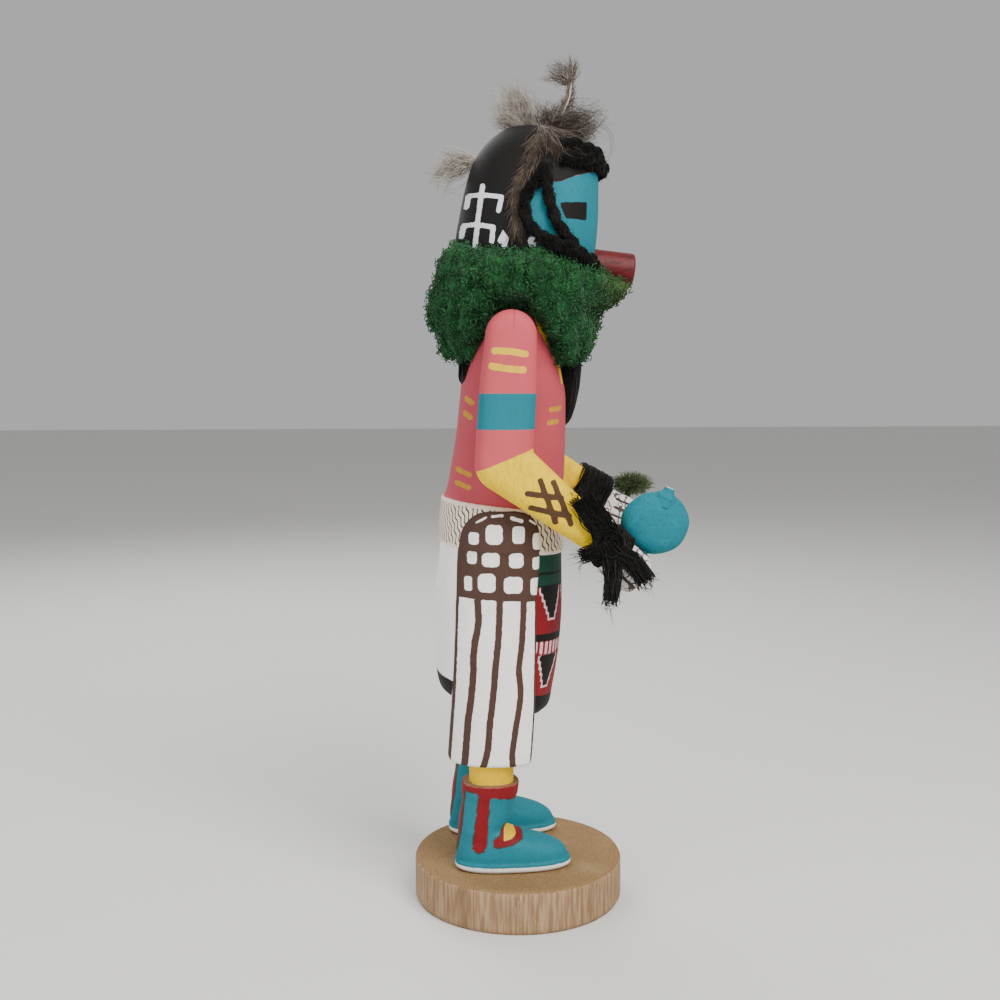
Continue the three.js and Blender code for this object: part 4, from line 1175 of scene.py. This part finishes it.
# ---------- black hair and yarn ----------
BEARD = [
    (174.4, -14.8, -17.4, 3.2, 0), (177, -13.2, -19.4, 6.0, 0), (182, -12.2, -21.0, 7.6, 0),
    (189, -12.2, -22.4, 8.6, 0), (196, -11.2, -23.0, 9.1, 0), (203, -9.5, -22.0, 9.1, 0),
    (209, -8.5, -21.0, 8.6, 0)]
# The nape hank is a short black hank at the back that fills the thin black line between the ruff and the
# torso's back edge.
NAPE = [
    (189.9, 20.4, 12.4, 7.4, 0), (192, 21.1, 12.2, 9.5, 0), (197, 20.9, 12.2, 10.5, 0),
    (204, 19.5, 10.2, 10.5, 0), (209, 18, 9, 10, 0)]


def make_hank(name, levels, facing, seed, node):
    """A hank of straight hair that lies against the body and hangs out of the ruff."""
    random = rng(seed)
    rings, _, _ = stack(levels, MIDDLE, 48, 2.4, 1.5)
    count, steps = 170, 18
    low, high = levels[0][0], levels[-1][0]
    angle = random.uniform(-1.35, 1.35, count)[:, None]
    ends = low + random.uniform(-1.0, 7.0, (count, 1)) * np.abs(angle) ** 0.6
    ends = ends + random.uniform(0, 2.5, (count, 1))
    z = high + (ends - high) * np.linspace(0, 1, steps)[None, :]
    rear, front, half = section(levels, z)
    sway = 0.08 * np.sin(z * 0.25 + random.uniform(0, 6.28, (count, 1)))
    x = MIDDLE + half * rounded(np.sin(angle + sway), 2.4)
    out = rounded(np.cos(angle + sway), 2.4)
    y = (rear + front) / 2 + facing * ((rear - front) / 2 * out + random.uniform(-0.2, 0.35, (count, 1)))
    lines = np.stack([x, y, z], -1)
    parts = [shaded_tube(rings, 0.05), strands(lines, 0.25 * taper(steps), random.uniform(0, 1, count))]
    settle(piece(name, parts, hair), node)


def on_head(side, y, z, proud):
    """A point that stands proud of one side of the head."""
    return (MIDDLE + side * (half_width(HEAD, y, z, HEAD_POWER) + proud), y, z)


# Points as Y, Z and how far the yarn stands off the face, where it rides up on the ruff.
CHEEK = [
    (-3.4, 240.4, 0.6), (-9.5, 237.8, 1.8), (-16.5, 235.4, 3.4), (-23.5, 232.6, 5.2), (-26.5, 230.4, 6.0)]
FRONT_STRAND = [
    (-7.6, 265), (-7.3, 259.4), (-7.7, 254.8), (-8.9, 249.5), (-11.3, 244.2), (-15.6, 239.4), (-19.8, 235.4)]
BACK_ARC = [(-6.8, 264), (-4.2, 259.4), (-0.5, 254.7), (0.4, 249.3), (-1.1, 244), (-5.7, 240), (-11.5, 236.6)]
YARN = 2.1


def make_face_yarn(name, side, node):
    """Thick black yarn on one side of the face: a strand in front of an arc, joined under the cheek."""
    parts = []
    lengths = (CHEEK, YARN * 1.2), (FRONT_STRAND, YARN * 0.98), (BACK_ARC, YARN)
    for number, (path, radius) in enumerate(lengths):
        points = [on_head(side, y, z, radius * 0.75 + sum(off)) for y, z, *off in path]
        parts += yarn(points, (side, 0, 0), radius, 20 + number + (side > 0) * 10, 12.0)
    settle(piece(name, parts, black_yarn), node)


def make_brow():
    """Two rows of the same yarn along the brow."""
    parts = []
    for row in range(2):
        z = 270.6 - row * 4.3
        rear, front, half = section(HEAD, z)
        points = [
            (MIDDLE + math.sin(turn) * (half + 1.8),
             (rear + front) / 2 - math.cos(turn) * ((rear - front) / 2 + 1.8), z + 1.4 * math.sin(turn) ** 2)
            for turn in np.linspace(-1.3, 1.3, 13)]
        parts += yarn(points, (0, -1, 0.2), 2.75, 41 + row, 15.0)
    settle(piece("brow_yarn_wound", parts, black_yarn), "brow_yarn")


def band(arm, shift, width, proud, count, seed):
    """Yarn wound round a wrist."""
    steps, clearance = 34, 0.3
    random = rng(seed)
    elbow, wrist = np.array(arm[2]), np.array(arm[3])
    ahead = unit(wrist - elbow)
    centre = wrist + ahead * shift

    def wound(swing, place, layer):
        """Points round the wrist at an angle, a place along the arm, and a share of the band's depth."""
        x = arm[0] + np.cos(swing) * (ARM_HALF + proud * layer) + 0 * place
        deep = np.sin(swing) * (WRIST_RADIUS + proud * layer + clearance)
        y = centre[0] + ahead[0] * place - ahead[1] * deep
        z = centre[1] + ahead[1] * place + ahead[0] * deep
        return np.stack([x, y, z], -1)

    share = np.linspace(0, 1, steps)[None, :]
    start = random.uniform(0, 2 * np.pi, (count, 1))
    swing = start + share * random.uniform(3.2, 6.0, (count, 1))
    place = random.uniform(-width / 2, width / 2, (count, 1)) + 0.5 * np.sin(swing * 2 + start)
    lines = wound(swing, place, random.uniform(0.72, 1.08, (count, 1)))
    row = np.linspace(-0.5, 0.5, 8)[:, None] * (width - 0.8)
    under = wound(circle(40)[None, :], row, 0.72)
    return [strands(lines, 0.3, random.uniform(0, 1, count)), shaded_tube(under, 0.05)]


KNOT = np.array((RIGHT[0] - ARM_HALF - 2.4, -26.5, 136.4))
# Loose ends of the right tie: points as (proud of the knot, Y, Z), and the width of each.
LOOSE_ENDS = (
    ([(-0.2, -24.4, 141), (0, -20.6, 147), (0.4, -16.4, 153)], 9.0),
    ([(-0.8, -23.6, 134.6), (-0.4, -20.2, 133), (0.2, -17, 131.4)], 4.6),
    ([(-1.2, -27.6, 130), (-1.6, -27.8, 122), (-1.2, -27.3, 115)], 5.6),
    ([(-1.4, -30.2, 133.6), (-1.8, -35.2, 129.4), (-1.4, -40.2, 122.2)], 6.8))


def make_right_tie():
    """The right wrist's band, its knot and four loose ends."""
    parts = band(RIGHT, 4.5, 7.4, 2.2, 46, 61)
    random = rng(66)
    for number, (end, width) in enumerate(LOOSE_ENDS):
        points = [KNOT] + [(KNOT[0] + proud, y, z) for proud, y, z in end]
        parts.append(fuzz(curve(points, 30), width, 170, random))
        parts += bundle(points, (-1, 0, 0), width, 3.6, 84, 70 + number)
    turns = 44
    a, tilt = np.linspace(0, 5.2, 22)[None, :], random.uniform(0, 6.28, turns)[:, None]
    wrap = KNOT + 4.4 * np.stack([0.45 * np.cos(a) + 0 * tilt, np.sin(a + tilt), np.cos(a + tilt)], -1)
    wrap = wrap + random.normal(0, 0.6, (turns, 1, 3))
    parts.append(strands(wrap, 0.28, random.uniform(0, 1, turns)))
    settle(piece("right_tie_yarn", parts, black_yarn), "right_wrist_tie")


def make_left_tie():
    """The wide cuff of yarn on the left wrist."""
    parts = band(LEFT, -0.5, 13.4, 2.3, 92, 62)
    settle(piece("left_tie_yarn", parts, black_yarn), "left_wrist_tie")


# ---------- fur and feathers ----------
FUR_PATH = [
    (-6.4, 275.0), (-4.0, 270), (-1.2, 264.5), (1.0, 260.2), (3.0, 255.5), (3.5, 249.5), (3.2, 243.4),
    (2.8, 238.8)]


def make_fur(name, side, node):
    """A strip of soft fur from the crown down to the ruff."""
    random = rng(81 + (side > 0))
    path = curve([on_head(side, y, z, 0.5) for y, z in FUR_PATH], 120)
    ahead, across, out = frames(path, np.array((side, 0, 0.0)))
    count, steps = 950, 6
    at = random.randint(0, 112, count)
    wide = np.interp(at, [0, 40, 119], [2.3, 1.9, 1.5])
    offset = random.normal(0, 0.5, count) * wide
    root = path[at] + across[at] * offset[:, None] + out[at] * random.uniform(-0.3, 0.5, count)[:, None]
    lean = unit(ahead[at] + across[at] * (offset * 0.12 + random.normal(0, 0.2, count))[:, None]
                + out[at] * random.uniform(0.02, 0.3, count)[:, None])
    t = np.linspace(0, 1, steps)
    length = random.uniform(2.6, 5.6, count)
    sag = random.normal(0, 0.9, (count, 3)) * 0.6 - out[at] * 0.9
    t = t[None, :, None]
    lines = root[:, None] + lean[:, None] * length[:, None, None] * t + sag[:, None] * t ** 2
    parts = [strands(lines, 0.13 * taper(steps), random.uniform(0, 1, count))]
    inner = slice(2, -4)
    parts.append(sleeve(path[inner], across[inner], out[inner], 1.7, 0.7, 10, 0.15))
    settle(piece(name, parts, fur), node)


def plume(points, face, length, count, seed, angle, wander, tone, start, quill):
    """A feather: a quill along the points, and barbs down both its sides from a share of its length on."""
    random = rng(seed)
    path = curve(points, 60)
    ahead, side, out = frames(path, np.array(face, float))
    share = np.sort(random.uniform(start, 1.0, count))
    at = (share * 59).astype(int)
    flip = np.where(random.uniform(0, 1, count) < 0.5, -1.0, 1.0)
    reach = np.interp(share, np.linspace(0, 1, len(length)), length) * random.uniform(0.75, 1.1, count)
    open_angle = angle * (1 - 0.45 * share) + random.normal(0, wander, count)
    heading = ahead[at] * np.cos(open_angle)[:, None] + side[at] * (flip * np.sin(open_angle))[:, None]
    heading = unit(heading + out[at] * random.normal(0, wander, count)[:, None])
    t = np.linspace(0, 1, 7)
    bend = ahead[at] * 0.25 + random.normal(0, wander, (count, 3))
    bend = bend + out[at] * (0.12 * random.normal(0, 1, (count, 1)))
    lines = path[at][:, None] + heading[:, None] * (reach[:, None] * t)[..., None] + (
        bend[:, None] * (reach[:, None] * t ** 2)[..., None])
    shade = random.uniform(tone[0], tone[1], count)[:, None] + 0 * t
    barbs = strands(lines, 0.1 * taper(7), shade)
    return [barbs, strands(path[None, ::3], quill * taper(20, 0.35), [0.0], 5)]


def down(root, outline, count, seed, tone, spread, on_side=False):
    """Soft down from one root: fine wavy hairs of uneven length that end within an outline of (Y, Z)."""
    random = rng(seed)
    edge = np.array(outline, float)
    place = random.uniform(0, len(edge) - 1, count)
    ends = np.stack([np.interp(place, np.arange(len(edge)), edge[:, k]) for k in (0, 1)], -1)
    start = np.array(root[1:]) + random.normal(0, 0.7, (count, 2))
    ends = start + (ends - start) * random.uniform(0.3, 1.08, (count, 1)) ** 0.7
    t = np.linspace(0, 1, 8)[None, :, None]
    across = (ends - start)[:, ::-1] * (-1, 1)
    bow = random.normal(0, 0.16, (count, 1, 1)) * np.sin(np.pi * t)
    bow = bow + random.normal(0, 0.14, (count, 1, 1)) * t ** 3
    wave = 0.035 * np.sin(t * random.uniform(8, 16, (count, 1, 1)) + random.uniform(0, 6.28, (count, 1, 1)))
    lines = start[:, None] + (ends - start)[:, None] * t + across[:, None] * (bow + wave)
    aside = random.normal(0, 1, (count, 1)) * t[..., 0] * spread
    if on_side:
        x = MIDDLE - half_width(HEAD, lines[..., 0], lines[..., 1], HEAD_POWER) - 0.7 - np.abs(aside)
    else:
        x = root[0] + aside
    shade = random.uniform(tone[0], tone[1], (count, 1)) + 0.15 * t[..., 0]
    return [strands(np.concatenate([x[..., None], lines], -1), 0.085 * taper(8), shade)]


def make_crown():
    """The tuft on the crown: an upright quill with barbs at its tip, pale down behind, brown in front."""
    x = MIDDLE
    quill = [
        (x, -9.3, 273), (x, -12.6, 278.6), (x, -15.9, 285.8), (x, -18.7, 292.2), (x, -19.5, 298.6),
        (x, -19.9, 303)]
    tip = [(-7.6, 298.3), (-9.2, 301.5), (-10.9, 303.6), (-14.1, 305.6), (-20.7, 306.6), (-23.2, 302.6)]
    pale = [(3, 281.8), (9.5, 286), (9.9, 289), (6.3, 294), (4.7, 298), (-0.2, 298.4), (-3.5, 294)]
    brown = [
        (-4, 290), (-11, 291), (-19, 289.6), (-25, 288.8), (-31.6, 287.8), (-32.4, 283.8), (-28, 281.4)]
    hanging = [(-28, 284), (-28.5, 279), (-27, 274), (-22, 269), (-16, 266.4), (-9.4, 266), (-6.4, 270)]
    parts = plume(quill, (1, 0.25, 0), [2.0, 4.2, 4.6, 2.6, 4.0], 330, 101, angle=0.8, wander=0.1,
                  tone=(0.55, 1.0), start=0.45, quill=0.42)
    parts += down((x, -18.6, 297.4), tip, 230, 102, (0.5, 1.0), 1.6)
    parts += down((x + 1, -5, 279.6), pale, 800, 103, (0.1, 0.6), 3.0)
    parts += down((x, -11, 279.4), brown, 900, 104, (0.45, 1.2), 3.4)
    parts += down((x - 6, -8, 279.5), hanging, 900, 105, (0.6, 1.3), 2.4, on_side=True)
    loops = [
        [(x + dx, -27, 281), (x + dx, -30.2, 282.6), (x + dx * 1.3, -33.6, 280.4),
         (x + dx * 1.6, -34.6, 274.6), (x + dx * 1.8, -31.8 - 0.3 * dx, 269 + dx)]
        for dx in (-2.6, -1.1, 0.6, 2.2)]
    loops = np.array([curve(loop, 14) for loop in loops])
    parts.append(strands(loops, 0.1 * taper(14), [0.6, 0.8, 0.7, 0.9]))
    settle(piece("crown_feather_tuft", parts, feather), "crown_feathers")


def make_back_feather():
    """A few sparse soft barbs that stand out behind the head."""
    x = MIDDLE + 2.5
    parts = plume([(x, 10.5, 270.6), (x, 17.5, 270.4), (x, 25, 268.4)], (1, 0, 0.3), [0.8, 2.0, 3.2], 60, 130,
                  angle=0.5, wander=0.2, tone=(0.1, 0.7), start=0.3, quill=0.25)
    parts += down((x, 15.5, 269.6), [(25.8, 271.5), (28.3, 270), (32, 266.4), (32.0, 262.4), (30.6, 259.6)],
                  330, 131, (0.0, 0.7), 1.6)
    settle(piece("back_feather_fan", parts, feather), "back_feather")


SPRIG_TOP, SPRIG_LOW = np.array((LEFT[0], -49.5, 150.0)), np.array((LEFT[0], -42.6, 132.2))


def make_sprig():
    """A sprig of green fibres, held in the left fist."""
    parts = []
    for centre, radii, count, seed, lift in (
            (SPRIG_TOP, (6.0, 9.2, 5.4), 950, 91, (0, -0.25, 0.75)),
            (SPRIG_LOW, (4.4, 5, 4.4), 330, 92, (0, 0.2, -0.6))):
        random = rng(seed)
        heading = unit(random.normal(0, 1, (count, 3)))
        inner = centre + heading * radii * random.uniform(0.1, 0.55, (count, 1))
        heading = unit(heading + np.array(lift) * 0.35)
        outer = centre + heading * radii * random.uniform(0.75, 1.06, (count, 1))
        t = np.linspace(0, 1, 5)[None, :, None]
        bow = random.normal(0, 1.1, (count, 1, 3)) * t * (1 - t) * 2
        lines = inner[:, None] + (outer - inner)[:, None] * t + bow
        parts.append(strands(lines, 0.12 * taper(5), random.uniform(0, 1, count)))
    stem = np.array([SPRIG_TOP, (SPRIG_TOP + SPRIG_LOW) / 2, SPRIG_LOW])
    parts.append(strands(curve(stem, 8)[None], 1.2, [0.2], 8))
    settle(piece("green_sprig", parts, greenery), "sprig")


# ---------- assembly ----------
make_camera()
make_light("key", (-0.55, -0.30, 0.75), 0.5, 11.0, (1.0, 0.98, 0.95))
make_light("fill", (-0.5, 0.7, 0.35), 0.8, 4.5, (0.95, 0.98, 1.0))
make_light("back", (0.6, 0.2, 0.7), 0.6, 5.0)
world = bpy.data.worlds.new("studio")
world.use_nodes = True
world.node_tree.nodes["Background"].inputs["Color"].default_value = (0.88, 0.88, 0.88, 1)
world.node_tree.nodes["Background"].inputs["Strength"].default_value = 0.55
bpy.context.scene.world = world
floor_paint = Finish("studio floor")
floor = piece("floor", [(
    np.array([(-4000.0, -4000, 0), (4000, -4000, 0), (4000, 4000, 0), (-4000, 4000, 0)]),
    [[0, 1, 2, 3]], {})], floor_paint.done(tint("#D9D8D5"), 0.85))

# The arms' pink; the body's pink is a darker copy of it, painted shade.
arm_paint = painted("arm paint", tint("#BE4C55"), {
    "hand": (tint("#D9D6D2"), tint("#A9A19A")),
    "yellow": (tint("#EBC400"), tint("#D6A800")), "turquoise": (TURQUOISE, dimmer(TURQUOISE, 0.85)),
    "line": (tint("#4E3420"), tint("#422C1C")), "sun": (tint("#E0B62A"), tint("#D0A22C")),
    "ink": (tint("#352A28"), tint("#463835"))}, extras=((scribble, tint("#4A3E3A")),))
make_figure()
make_arm("right_arm_painted", RIGHT, -1, "right_arm")
make_arm("left_arm_painted", LEFT, 1, "left_arm")
make_base()
make_snout()
make_rattle()
hair = fibre_finish("black hair", "#040404", "#110E0D", 0.7, 0.04)
black_yarn = fibre_finish("black yarn", "#050505", "#171412", 0.95, 0.06)
fur = fibre_finish("brown fur", "#1B1512", "#6B5C4E", 0.9, 0.1)
feather = fibre_finish("feather", "#C9C0B4", "#3A2A1F", 0.8, 0.1)
greenery = fibre_finish("green fibres", "#1C3015", "#5F6E42", 0.9, 0.1)
SCATTER = scatter_tree()
make_ruff()
make_hank("beard_hair", BEARD, -1, 51, "beard")
# a short black hank in the thin black line between the ruff and the torso's back
make_hank("nape_hair_hank", NAPE, 1, 52, "nape_hair")
make_brow()
for name, side in (("right", -1), ("left", 1)):
    make_face_yarn(name + "_yarn_wound", side, name + "_face_yarn")
    make_fur(name + "_fur_strip", side, name + "_fur")
make_right_tie()
make_left_tie()
make_crown()
make_back_feather()
make_sprig()
